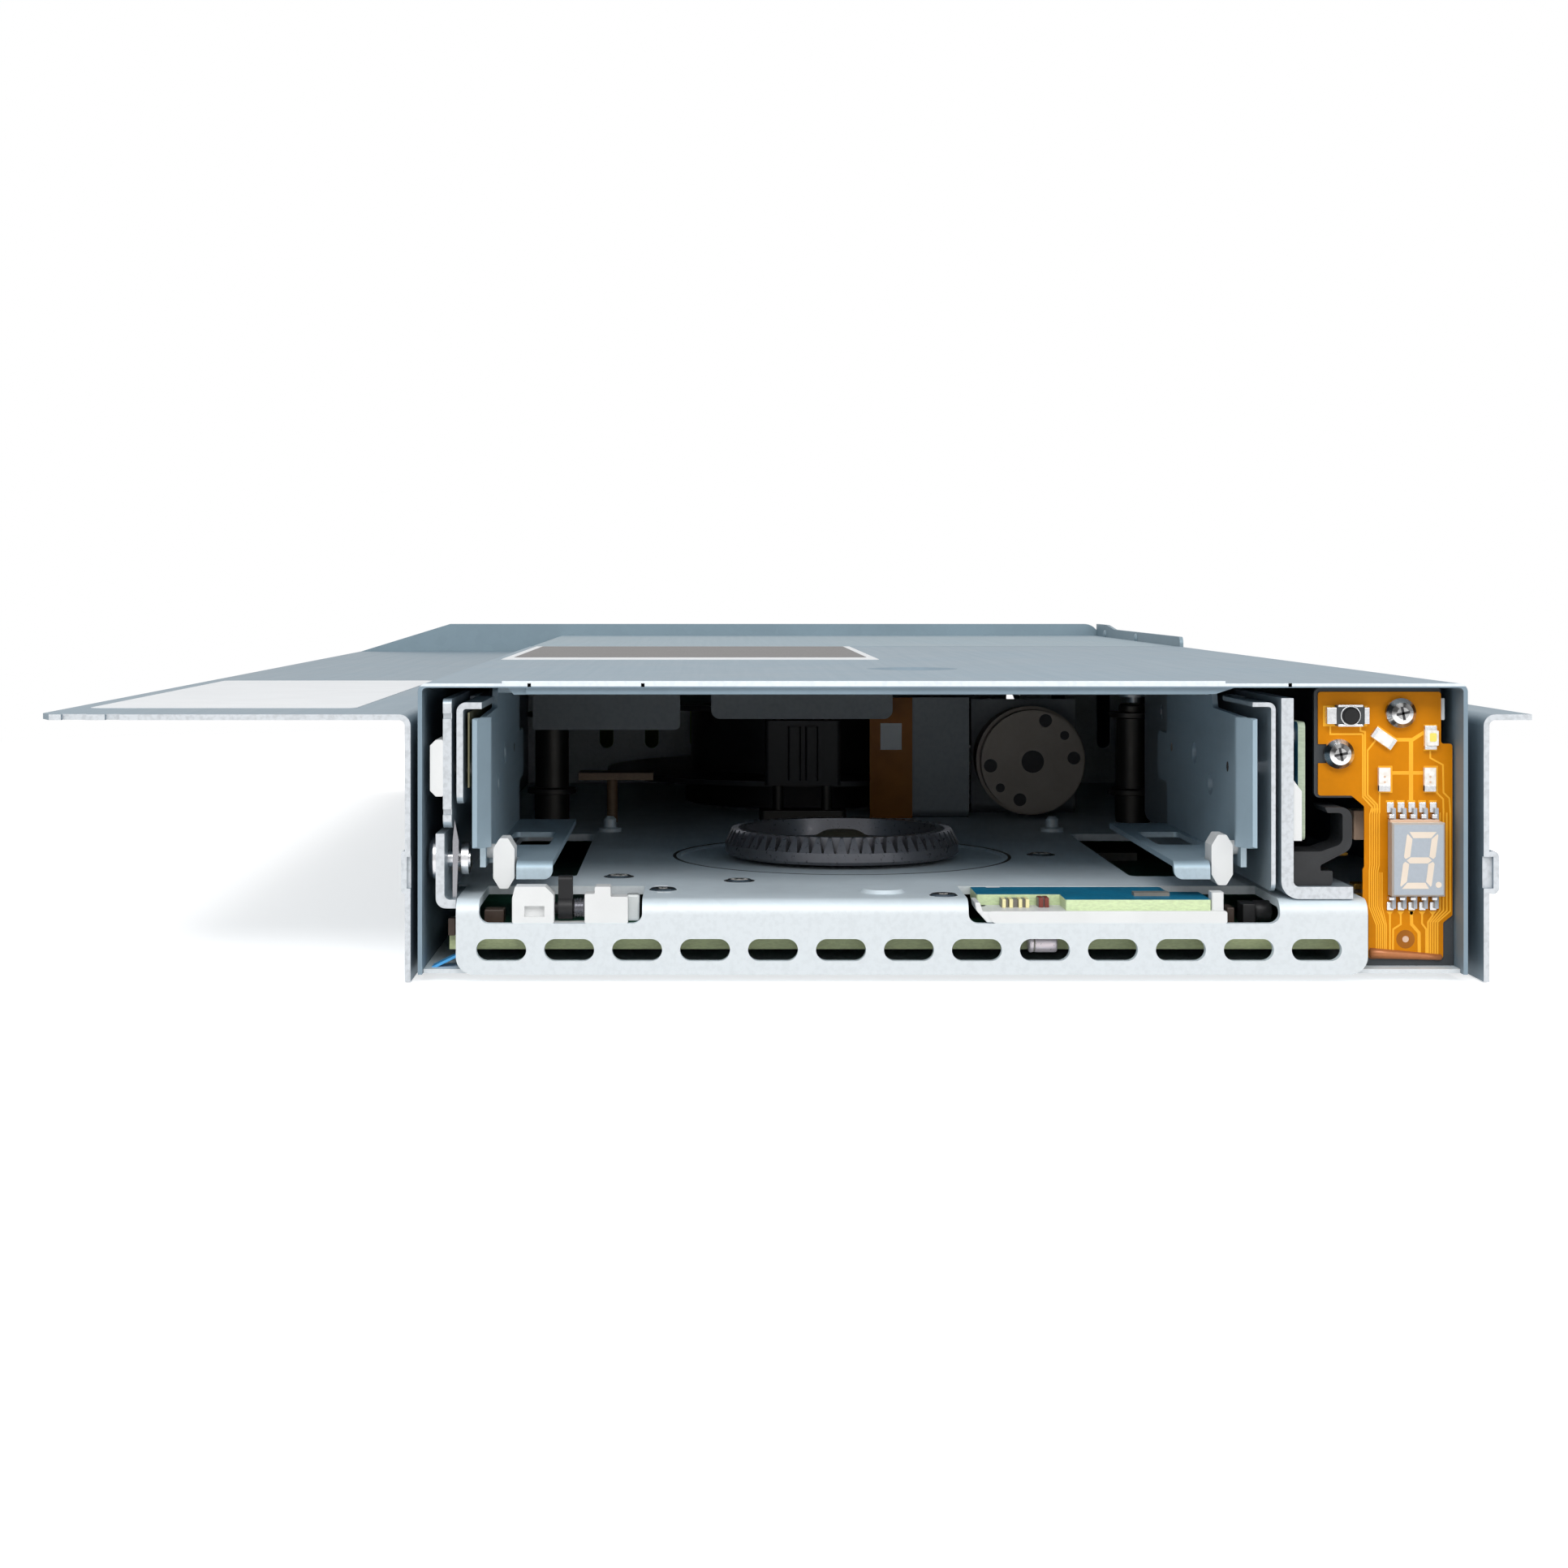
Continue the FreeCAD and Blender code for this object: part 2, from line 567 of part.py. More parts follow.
# ---- the rear of the sled ----
def rear_housing():
    """A sheet cover behind the drive; its right wall stands up as a lip."""
    span = (DRIVE_LENGTH + 1, PANEL_FRONT)
    path = [(HALF, SLED_FLOOR_TOP), (HALF, DRIVE_HEIGHT), (-HALF, DRIVE_HEIGHT), (-HALF, SLED_FLOOR_TOP)]
    body = sheet("xz", path, HOUSING_T, span, SHEET_BEND)
    low = DRIVE_HEIGHT + LIP_RISE
    rise = PANEL_FRONT - LIP_HIGH_LENGTH
    side = [(span[0], DECK_TOP), (span[0], low), (rise, low), (rise + LIP_SLOPE, PANEL_TOP),
            (span[1], PANEL_TOP), (span[1], DECK_TOP)]
    lip = prism("yz", side, (HALF - HOUSING_T, HALF), radii=[0, 1.5, 4, 4, 0, 0])
    vents = [pill("yz", (DRIVE_LENGTH + 24 + 9 * i, REAR_MIDDLE), (4, 22), (-HALF - 1, 1 - HALF))
             for i in range(8)]
    seat, head = HALF - HOUSING_T, RIVET / 2
    profile = [(0, 0.2), (head, 0.2), (head, 0), (0.85 * head, -0.35), (0.4 * head, -0.6), (0, -0.6)]
    rivets = [turned("x", (PANEL_FRONT - ahead, DRIVE_HEIGHT + 0.5), [(r, seat + h) for r, h in profile])
              for ahead in RIVETS_FROM_PANEL]
    return joined(cut_all(joined(body, lip), vents), *rivets)


def rear_panel():
    """The panel closes the bay behind the wing; its left end runs down to the wing by a diagonal."""
    ear_low, ear_in = THUMB_Z - THUMB_KNOB / 2 - EAR_MARGIN, WING_EDGE + EAR_WIDTH
    points = [(WING_EDGE, ear_low), (ear_in, ear_low), (ear_in + EAR_SLOPE, SLED_BOTTOM),
              (PANEL_RIGHT, SLED_BOTTOM), (PANEL_RIGHT, SLED_WALL_TOP - 1.2),
              (HALF, SLED_WALL_TOP - 1.2), (HALF, PANEL_TOP), (WING_EDGE + PANEL_DIAGONAL, PANEL_TOP),
              (WING_EDGE, SLED_WALL_TOP)]
    body = prism("xz", points, (PANEL_FRONT, SLED_LENGTH), radii=[2, 2, 2, 0, 2, 0.5, 4, 1, 0])
    through = (PANEL_FRONT - 1, SLED_LENGTH + 1)
    cutters = []
    outer = FAN_SIZE / 2 - FAN_WALL
    (fx, fz), bar = FAN_CENTRE, GRILLE_WEB / 2
    spokes = [block((fx - FAN_SIZE, fx + FAN_SIZE), through, (fz - bar, fz + bar)),
              block((fx - bar, fx + bar), through, (fz - FAN_SIZE, fz + FAN_SIZE))]
    while outer - GRILLE_SLOT > FAN_HUB / 4:
        slot = rod("y", FAN_CENTRE, through, 2 * outer)
        core = rod("y", FAN_CENTRE, through, 2 * (outer - GRILLE_SLOT))
        cutters.append(cut_all(slot, [core] + spokes))
        outer -= GRILLE_SLOT + GRILLE_WEB
    for x in PORT_XS:
        cutters.append(block((x - PORT_WIDTH / 2, x + PORT_WIDTH / 2), through, PORT_Z))
    cutters.append(block((POWER_X - POWER_WIDTH / 2, POWER_X + POWER_WIDTH / 2), through, POWER_Z))
    for x in THUMB_XS:
        cutters.append(rod("y", (x, THUMB_Z), through, THUMB_NECK + 2 * RUNNING_GAP))
    for x in handle_xs():
        cutters.append(rod("y", (x, HANDLE_Z), through, HANDLE_ROD / 2))
    return cut_all(body, cutters)


def handle_xs():
    return HANDLE_X - HANDLE_SPAN / 2, HANDLE_X + HANDLE_SPAN / 2


def rear_handle():
    """A bent rod with a bend at each corner and a turned-down tail riveted into the panel."""
    (left, right), bend = handle_xs(), 1.6 * HANDLE_ROD
    tip = SLED_LENGTH + HANDLE_REACH
    turn = bend * (1 - math.sqrt(0.5))
    spots = [(left, SLED_LENGTH), (left, tip - bend), (left + turn, tip - turn), (left + bend, tip),
             (right - bend, tip), (right - turn, tip - turn), (right, tip - bend), (right, SLED_LENGTH)]
    p = [Vector(x, y, HANDLE_Z) for x, y in spots]
    path = Part.Wire([Part.makeLine(p[0], p[1]), Part.Arc(p[1], p[2], p[3]).toShape(),
                      Part.makeLine(p[3], p[4]), Part.Arc(p[4], p[5], p[6]).toShape(),
                      Part.makeLine(p[6], p[7])])
    section = Part.Wire([Part.makeCircle(HANDLE_ROD / 2, p[0], Vector(0, 1, 0))])
    bar = path.makePipeShell([section], True, False)
    tails = [rod("y", (x, HANDLE_Z), (PANEL_FRONT, SLED_LENGTH), HANDLE_ROD / 2) for x in (left, right)]
    return joined(bar, *tails)


def thumbscrew(x):
    """A captive screw: a ribbed knob behind the panel, a thin neck in its hole, a thread ahead of it."""
    back, knob, thread, neck = SLED_LENGTH, THUMB_KNOB / 2, THUMB_THREAD / 2, THUMB_NECK / 2
    tip, shoulder = PANEL_FRONT - THUMB_REACH, PANEL_FRONT - THUMB_PLAY
    profile = [(0, tip), (0.75 * thread, tip), (thread, tip + 0.8), (thread, shoulder), (neck, shoulder),
               (neck, back + 0.3), (0.8 * knob, back + 0.3),
               (0.8 * knob, back + 2.6), (knob, back + 3.2), (knob, back + THUMB_LENGTH - 0.8),
               (0.86 * knob, back + THUMB_LENGTH), (0, back + THUMB_LENGTH)]
    body = turned("y", (x, THUMB_Z), profile)
    flute = rod("y", (x + knob + 0.25, THUMB_Z), (back + 3.2, back + THUMB_LENGTH + 1), 1.3)
    slot = block((x - knob, x + knob), (back + THUMB_LENGTH - 1.2, back + THUMB_LENGTH + 1),
                 (THUMB_Z - 0.5, THUMB_Z + 0.5))
    return cut_all(body, around(flute, Vector(x, back, THUMB_Z), 12, Vector(0, 1, 0)) + [slot])


def thumbscrew_left():
    return thumbscrew(THUMB_XS[0])


def thumbscrew_right():
    return thumbscrew(THUMB_XS[1])


def fan_frame():
    """A square frame with a round duct; three struts hold the motor boss at its front."""
    (x, z), half = FAN_CENTRE, FAN_SIZE / 2
    y = (PANEL_FRONT - FAN_DEPTH, PANEL_FRONT)
    duct = FAN_SIZE - 2 * FAN_WALL
    shell = rounded_box("xz", (x - half, x + half), (z - half, z + half), y, 2.0)
    shell = shell.cut(rod("y", FAN_CENTRE, (y[0] - 1, y[1] + 1), duct))
    boss = rod("y", FAN_CENTRE, (y[0], y[0] + 2.0), FAN_HUB)
    pin = rod("y", FAN_CENTRE, (y[0], y[1] - 3.0), SHAFT / 2)
    strut = block((x, x + half - FAN_WALL / 2), (y[0], y[0] + 1.6), (z - 0.9, z + 0.9))
    return joined(shell, boss, pin, *around(strut, Vector(x, 0, z), 3, Vector(0, 1, 0)))


def fan_rotor():
    """A hub with pitched blades that turns on the frame's pin."""
    x, z = FAN_CENTRE
    front, back = PANEL_FRONT - FAN_DEPTH + 2.6, PANEL_FRONT - 1.6
    bore, hub = SHAFT / 4 + RUNNING_GAP, FAN_HUB / 2
    hollow = back - 1.2
    profile = [(bore, front), (hub, front), (hub, back - 0.6), (hub - 0.6, back), (0, back), (0, hollow),
               (bore, hollow)]
    body = turned("y", FAN_CENTRE, profile)
    tip = FAN_SIZE / 2 - FAN_WALL - FAN_TIP_GAP
    middle, chord = (front + back) / 2, (back - front - 1.0) / 2
    blades = []
    for turn, radius in ((-FAN_BLADE_TWIST / 2, hub - 0.5), (FAN_BLADE_TWIST / 4, tip)):
        lean = math.radians(FAN_BLADE_TWIST + turn)
        along = Vector(0, math.cos(lean), math.sin(lean)) * chord
        thick = Vector(0, -math.sin(lean), math.cos(lean)) * (FAN_BLADE_T / 2)
        c = Vector(x + radius, middle, z)
        blades.append(Part.makePolygon([c + along + thick, c - along + thick, c - along - thick,
                                        c + along - thick, c + along + thick]))
    blade = Part.makeLoft(blades, True, True)
    blade = blade.common(rod("y", FAN_CENTRE, (front, back), 2 * tip))
    return joined(body, *around(blade, Vector(x, 0, z), FAN_BLADES, Vector(0, 1, 0)))


def interface_board():
    """The upright board that carries the rear sockets."""
    back = PANEL_FRONT - BOARD_SETBACK
    return block((PORT_XS[0] - 13, POWER_X + 14), (back - INTERFACE_BOARD_T, back),
                 (SLED_FLOOR_TOP, REAR_MIDDLE + 12))


def data_ports():
    """Two metal cages from the board to just past the panel, each with a contact tongue."""
    ports = []
    y = (PANEL_FRONT - BOARD_SETBACK, SLED_LENGTH + 0.6)
    for x in PORT_XS:
        half = PORT_WIDTH / 2
        cage = block((x - half, x + half), y, PORT_Z)
        inner = block((x - half + PORT_WALL, x + half - PORT_WALL), (y[0] + 2, y[1] + 1),
                      (PORT_Z[0] + PORT_WALL, PORT_Z[1] - PORT_WALL))
        tongue = block((x - half + 3, x + half - 3), (y[0] + 1, y[1] - 5),
                       (PORT_Z[0] + PORT_WALL, PORT_Z[0] + PORT_WALL + PORT_TONGUE))
        ports.append(joined(cage.cut(inner), tongue))
    return ports


def power_socket():
    """A shrouded socket with four blade contacts."""
    y = (PANEL_FRONT - BOARD_SETBACK, SLED_LENGTH + 0.6)
    half = POWER_WIDTH / 2
    shroud = rounded_box("xz", (POWER_X - half, POWER_X + half), POWER_Z, y, 0.5)
    inner = block((POWER_X - half + POWER_WALL, POWER_X + half - POWER_WALL), (y[1] - 9, y[1] + 1),
                  (POWER_Z[0] + POWER_WALL, POWER_Z[1] - POWER_WALL))
    middle = (POWER_Z[0] + POWER_Z[1]) / 2
    pitch = (POWER_WIDTH - 4 * POWER_WALL) / 4
    blades = []
    for i in range(4):
        x = POWER_X + (i - 1.5) * pitch
        blades.append(block((x - 0.5, x + 0.5), (y[1] - 10, y[1] - 5), (middle - 0.4, middle + 0.4)))
    return joined(shroud.cut(inner), *blades)


# ---- the drive's shell ----
def top_cover():
    """A U of thin sheet with a raised front rim, a stiffening strip below it and a pressed dimple."""
    path = [(HALF, 0), (HALF, DRIVE_HEIGHT), (-HALF, DRIVE_HEIGHT), (-HALF, 0)]
    body = sheet("xz", path, COVER_T, (0, DRIVE_LENGTH), COVER_T)
    rim = [(0, COVER_UNDER + COVER_T / 2), (0, DRIVE_HEIGHT + COVER_EDGE_RISE),
           (COVER_EDGE_LAND, DRIVE_HEIGHT + COVER_EDGE_RISE), (COVER_EDGE_SLOPE, DRIVE_HEIGHT),
           (COVER_EDGE_SLOPE, COVER_UNDER + COVER_T / 2)]
    edge = prism("yz", rim, (TRAY_IN[0] + 2.6, TRAY_IN[1] - 3.0))
    press = DIMPLE_DIAMETER / 2
    dish = turned("z", DIMPLE, [(0, DRIVE_HEIGHT - COVER_T), (press - 1.2, DRIVE_HEIGHT - COVER_T),
                                (press, DRIVE_HEIGHT + 0.01), (0, DRIVE_HEIGHT + 0.01)])
    under = turned("z", DIMPLE, [(0, DRIVE_HEIGHT - 2 * COVER_T), (press - 1.0, DRIVE_HEIGHT - 2 * COVER_T),
                                 (press + 0.4, COVER_UNDER + 0.1), (0, COVER_UNDER + 0.1)])
    holes = [rod("x", (y, SIDE_SCREW_Z), (-HALF - 1, HALF + 1), SIDE_SCREW) for y in SIDE_SCREW_YS]
    low = COVER_UNDER - STIFFENER_T
    ends = (TRAY_IN[0] + STIFFENER_INSET, TRAY_IN[1] - STIFFENER_INSET - 1)
    strip = prism("xz", [(ends[0], COVER_UNDER), (ends[0] + 1, low), (ends[1] - 1, low),
                         (ends[1], COVER_UNDER)], (1.0, 1.0 + STIFFENER_DEPTH))
    return cut_all(joined(body, edge, under, strip), [dish] + holes)


def bottom_cover():
    """The floor plate of the drive and its back wall."""
    front = DECK_T + 0.1
    path = [(front, 0), (DRIVE_LENGTH, 0), (DRIVE_LENGTH, COVER_UNDER - COVER_T - 0.1)]
    body = sheet("yz", path, COVER_T, (-INNER + 0.05, INNER - 0.05), COVER_T)
    vents = [pill("xz", (x, 26), (3, 16), (DRIVE_LENGTH - 2, DRIVE_LENGTH + 1)) for x in range(-55, 56, 10)]
    return cut_all(body, vents)


def base_deck():
    """The deck and the slotted front plate, bent from one sheet."""
    path = [(DECK_REAR, DECK_TOP), (0, DECK_TOP), (0, 0)]
    body = sheet("yz", path, DECK_T, DECK_X, DECK_BEND)
    front = round_lower_corners(body)
    wings = block((-INNER + 0.1, INNER - 0.1), (NOTCH_DEPTH + 1, DECK_REAR), (DECK_UNDER, DECK_TOP))
    body = joined(front, wings)
    cutters = []
    for centre, width in ((LEFT_NOTCH_X, LEFT_NOTCH_WIDTH), (RIGHT_NOTCH_X, RIGHT_NOTCH_WIDTH)):
        cutters.append(rounded_box("xz", (centre - width / 2, centre + width / 2),
                                   (NOTCH_BOTTOM, DECK_TOP + 3), (-1, NOTCH_DEPTH), 1.4))
    for i in range(VENT_SLOTS):
        x = DECK_X[0] + VENT_FIRST + i * VENT_PITCH
        cutters.append(pill("xz", (x, VENT_Z), (VENT_WIDTH, VENT_HEIGHT), (-1, DECK_T + 1)))
    for x in slot_xs():
        cutters.append(rounded_box("xy", x, SLOT_Y, (DECK_UNDER - 1, DECK_TOP + 1), 1.5))
    recess = rod("z", REEL, (DECK_TOP - DECK_RECESS_DEPTH, DECK_TOP + 1), DECK_RECESS)
    cutters += [recess, rod("z", REEL, (DECK_UNDER - 1, DECK_TOP + 1), 3 * SHAFT)]
    for x, y in DECK_SCREW_PLACES:
        cutters.append(rod("z", (x, y), (DECK_UNDER - 1, DECK_TOP + 1), DECK_SCREW / 2))
    raised = turned("z", (-7.7, 9.4), [(0, DECK_TOP - 0.3), (3.5, DECK_TOP - 0.3), (2.8, DECK_TOP + 0.5),
                                       (0, DECK_TOP + 0.5)])
    stake = [(0, DECK_TOP - 0.3), (2.0, DECK_TOP - 0.3), (2.0, DECK_TOP + 0.6), (1.1, DECK_TOP + 0.8),
             (1.1, DECK_TOP + 2.2), (0.6, DECK_TOP + 2.7), (0, DECK_TOP + 2.7)]
    stakes = [turned("z", where, stake) for where in STAKES]
    return joined(cut_all(body, cutters), raised, *stakes)


def round_lower_corners(body):
    """Rounds the lower corners of the front plate."""
    mask = prism("xz", [(DECK_X[0], 0), (DECK_X[1], 0), (DECK_X[1], DECK_TOP + 1), (DECK_X[0], DECK_TOP + 1)],
                 (-1, DECK_REAR + 1), radii=[DECK_CORNER, DECK_CORNER, 0, 0])
    return body.common(mask)


def slot_xs():
    """The deck slots that the tray's shelves sink into, left and right."""
    side, inner = 1.3, TRAY_SHELF + 2.1
    return (TRAY_IN[0] - side, TRAY_IN[0] + inner), (TRAY_IN[1] - inner, TRAY_IN[1] + side)


# ---- the loader ----
def tray():
    """The cartridge tray: two shelves, two side plates with flared fronts and a roof behind the mouth."""
    left = tray_side(TRAY_IN[0], -1)
    right = tray_side(TRAY_IN[1], 1)
    roof = block(TRAY_OUT, (TRAY_STEP_Y + 2, TRAY_ROOF_REAR), (TRAY_ROOF, TRAY_ROOF + TRAY_T))
    ribs = [pill("xy", (LOADER_X + dx, (TRAY_STEP_Y + TRAY_ROOF_REAR) / 2), (5, 22),
                 (TRAY_ROOF - 1, TRAY_ROOF + TRAY_T + 1)) for dx in (-36, -12, 12, 36)]
    return joined(left, right, cut_all(roof, ribs))


def tray_side(inner, way):
    """One side of the tray; way is -1 on the left and 1 on the right."""
    outer = inner + way * TRAY_T
    shelf_edge = inner - way * TRAY_SHELF
    rear = TRAY_REAR if way < 0 else TRAY_ROOF_REAR
    top = TRAY_ROOF + TRAY_T
    middle = TAB_Z
    profile = [(TRAY_FRONT, TRAY_UNDER), (rear, TRAY_UNDER), (rear, middle - TAB_HEIGHT / 2),
               (rear + TAB_LENGTH, middle - TAB_HEIGHT / 2), (rear + TAB_LENGTH, middle + TAB_HEIGHT / 2),
               (rear, middle + TAB_HEIGHT / 2), (rear, top), (TRAY_STEP_Y + 1, top),
               (TRAY_STEP_Y, TRAY_SIDE_TOP + 0.4), (TRAY_FRONT, TRAY_SIDE_TOP)]
    wall = prism("yz", profile, sorted((inner, outer)), radii=[0, 0, 1, 2, 2, 1, 2, 0.8, 0.8, 0])
    flare_path = [(inner, TRAY_FRONT + 0.5), (inner, TRAY_FRONT), (inner + way * FLARE_OUT, FLARE_FRONT)]
    if way > 0:
        flare_path = flare_path[::-1]
    flare = sheet("xy", flare_path, TRAY_T, (FLARE_BOTTOM, TRAY_SIDE_TOP), SHEET_BEND)
    nose = rounded_box("yz", (FLARE_FRONT - 1, TRAY_FRONT + 3), (FLARE_BOTTOM, TRAY_SIDE_TOP),
                       sorted((inner - way, inner + way * 4)), 1.6)
    flare = flare.common(nose)
    lip_bottom = TRAY_FLOOR - TRAY_LIP_DROP
    path = [(rear, TRAY_FLOOR), (TRAY_FRONT, TRAY_FLOOR), (TRAY_FRONT, lip_bottom)]
    shelf = sheet("yz", path, TRAY_T, sorted((inner, shelf_edge)), SHEET_BEND)
    mask = prism("xz", [(shelf_edge, lip_bottom), (inner, lip_bottom), (inner, TRAY_FLOOR),
                        (shelf_edge, TRAY_FLOOR)], (TRAY_FRONT - 1, rear + 1), radii=[1.6, 1.6, 0, 0])
    shelf = shelf.common(mask)
    window_x = sorted((inner - way * 0.9, inner - way * (0.9 + WINDOW_WIDTH)))
    window_y = (TRAY_FRONT + WINDOW_FRONT, TRAY_FRONT + WINDOW_FRONT + WINDOW_LENGTH)
    window = rounded_box("xy", window_x, window_y, (lip_bottom - 1, TRAY_FLOOR + 1), 1.0)
    pad_room = block(sorted((inner + way * 0.01, pad_x(way)[0 if way > 0 else 1] - way * 0.3)),
                     (0, TRAY_FRONT + PAD_FRONT + PAD_DEPTH + 0.3), (lip_bottom - 1, TRAY_FLOOR + 0.5))
    shelf = cut_all(shelf, [window, pad_room])
    outer_cutters = [rod("x", hole, sorted((inner - way, outer + way)), TRAY_HOLE) for hole in TRAY_HOLES]
    through = sorted((inner - way, outer + way))
    outer_cutters += [rod("x", (y, PIN_Z), through, PIN_DIAMETER / 2) for y in PIN_YS]
    return cut_all(joined(wall, flare, shelf), outer_cutters)


def pad_x(way):
    inner = TRAY_IN[0] if way < 0 else TRAY_IN[1]
    return sorted((inner - way * PAD_STANDOFF, inner - way * (PAD_STANDOFF + PAD_WIDTH)))


def tray_pads():
    """Octagonal glide pads at the tray's front corners, each pegged to its side plate."""
    pads = []
    front = TRAY_FRONT + PAD_FRONT
    for way, low in ((-1, TRAY_FLOOR - 3.9), (1, TRAY_FLOOR - 3.4)):
        x = pad_x(way)
        z = (low, low + PAD_HEIGHT)
        chamfer = 0.9
        points = [(x[0] + chamfer, z[0]), (x[1] - chamfer, z[0]), (x[1], z[0] + 1.5), (x[1], z[1] - 1.5),
                  (x[1] - chamfer, z[1]), (x[0] + chamfer, z[1]), (x[0], z[1] - 1.5), (x[0], z[0] + 1.5)]
        body = prism("xz", points, (front, front + PAD_DEPTH), radius=0.3)
        inner = TRAY_IN[0] if way < 0 else TRAY_IN[1]
        peg = rod("x", (front + PAD_DEPTH / 2, z[1] - 2.0), sorted((inner, inner - way * 2)), 2.0)
        pads.append(joined(body, peg))
    return pads


def tray_pins():
    """Pins that lower the tray: through the bracket's upright slots and the slider's cam slots."""
    pins = []
    left = (SLIDER[0] + 0.1, TRAY_OUT[0])
    right = (TRAY_OUT[1], BRACKET_R[1] + 0.4)
    for y in PIN_YS:
        for span, tail in ((left, (TRAY_OUT[0], TRAY_IN[0])), (right, (TRAY_IN[1], TRAY_OUT[1]))):
            shank = rod("x", (y, PIN_Z), span, PIN_DIAMETER)
            pins.append(joined(shank, rod("x", (y, PIN_Z), tail, PIN_DIAMETER / 2)))
    return pins


def upright_slot(y, span):
    """The slot in which a tray pin moves down by the tray's drop."""
    middle = (y, PIN_Z - TRAY_DROP / 2)
    half = PIN_HOLE / 2
    low, high = PIN_Z - TRAY_DROP - half, PIN_Z + half
    corners = [(middle[0] - half, low), (middle[0] + half, low), (middle[0] + half, high),
               (middle[0] - half, high)]
    return prism("yz", corners, span, radius=0.998 * half)


def bracket_left():
    """The carriage's left bracket: an upright plate with an eave turned in over the tray."""
    x, top = BRACKET_L, BRACKET_TOP
    wall = prism("yz", [(BRACKET_FRONT, BRACKET_L_BOTTOM), (BRACKET_REAR, BRACKET_L_BOTTOM),
                        (BRACKET_REAR, top), (BRACKET_FRONT, top)], x, radii=[1.5, 1.5, 0, 0])
    eave_path = [(x[1] + BRACKET_EAVE, top), (x[0], top), (x[0], top - 4)]
    eave = sheet("xz", eave_path, x[1] - x[0], (BRACKET_FRONT, BRACKET_FRONT + BRACKET_EAVE_LENGTH), 0.4)
    wall = wall.cut(block((x[0] - 1, x[1] + 1), (BRACKET_FRONT - 1, BRACKET_FRONT + BRACKET_EAVE_LENGTH),
                          (top - 3, top + 1)))
    cutters = [upright_slot(y, (x[0] - 1, x[1] + 1)) for y in PIN_YS]
    cutters += [post_slot(y, (x[0] - 1, x[1] + 1), LOAD_TRAVEL) for y in POST_YS]
    return cut_all(joined(wall, eave), cutters)


def post_slot(y, span, travel):
    """A level slot that slides over a fixed post by the travel."""
    half = POST_HOLE / 2
    corners = [(y - travel - half, POST_Z - half), (y + half, POST_Z - half), (y + half, POST_Z + half),
               (y - travel - half, POST_Z + half)]
    return prism("yz", corners, span, radius=0.998 * half)


def bracket_right():
    """The carriage's right bracket with its guide pins and the arm that crosses to the left bracket."""
    x, top = BRACKET_R, BRACKET_TOP
    t = BRACKET_R_T
    wall = prism("yz", [(BRACKET_FRONT, BRACKET_R_BOTTOM), (BRACKET_REAR - 30, BRACKET_R_BOTTOM),
                        (BRACKET_REAR - 24, BRACKET_L_BOTTOM), (BRACKET_REAR, BRACKET_L_BOTTOM),
                        (BRACKET_REAR, top), (BRACKET_FRONT, top)], x, radii=[1.5, 4, 4, 1.5, 0, 0])
    wall = wall.cut(block((x[0] - 1, x[1] + 1), (BRACKET_FRONT - 1, BRACKET_FRONT + BRACKET_EAVE_LENGTH),
                          (top - 3, top + 1)))
    eave_path = [(x[1], top - 4), (x[1], top), (x[0] - BRACKET_EAVE, top)]
    eave = sheet("xz", eave_path, t, (BRACKET_FRONT, BRACKET_FRONT + BRACKET_EAVE_LENGTH), 0.4)
    arm = block((BRACKET_L[1], x[0] + t / 2), (BRACKET_REAR - CROSS_ARM, BRACKET_REAR),
                (top - BRACKET_L_T, top))
    lighten = [pill("xy", (LOADER_X + dx, BRACKET_REAR - CROSS_ARM / 2), (22, 5), (top - 3, top + 1))
               for dx in (-32, 0, 32)]
    pins = [rod("x", (y, GUIDE_Z), (x[0], FRAME_R[1] - 0.1), POST_DIAMETER) for y in GUIDE_YS]
    body = joined(wall, eave, cut_all(arm, lighten), *pins)
    return cut_all(body, [upright_slot(y, (x[0] - 1, x[1] + 0.3)) for y in PIN_YS])


def cam_slider():
    """The plate whose sloping slots draw the tray down; it slides on the left frame's posts."""
    x = SLIDER
    low, top = SLIDER_BOTTOM, SLIDER_TOP
    points = [(BRACKET_FRONT, low), (BRACKET_REAR, low), (BRACKET_REAR, top - 2), (BRACKET_REAR - 3, top),
              (BRACKET_FRONT, top)]
    body = prism("yz", points, x, radii=[1.5, 1.5, 1, 1, 0.8])
    half = PIN_HOLE / 2
    slant = math.hypot(SLIDER_TRAVEL, TRAY_DROP)
    nx, nz = TRAY_DROP / slant * half, SLIDER_TRAVEL / slant * half
    ex, ez = SLIDER_TRAVEL / slant * half, TRAY_DROP / slant * half
    cutters = []
    for y in PIN_YS:
        a = (y + ex, PIN_Z + ez)
        b = (y - SLIDER_TRAVEL - ex, PIN_Z - TRAY_DROP - ez)
        corners = [(a[0] + nx, a[1] - nz), (a[0] - nx, a[1] + nz), (b[0] - nx, b[1] + nz),
                   (b[0] + nx, b[1] - nz)]
        cutters.append(prism("yz", corners, (x[0] - 1, x[1] + 1), radius=0.998 * half))
    reach = POST_YS[1] - POST_YS[0] + LOAD_TRAVEL + SLIDER_TRAVEL
    cutters.append(post_slot(POST_YS[1], (x[0] - 1, x[1] + 1), reach))
    for z in (top - 2.4, low + 2.3):
        cutters.append(block((x[0] - 1, x[1] + 1), (BRACKET_FRONT - 1, BRACKET_FRONT + 0.6),
                             (z - 0.4, z + 0.4)))
    return cut_all(body, cutters)


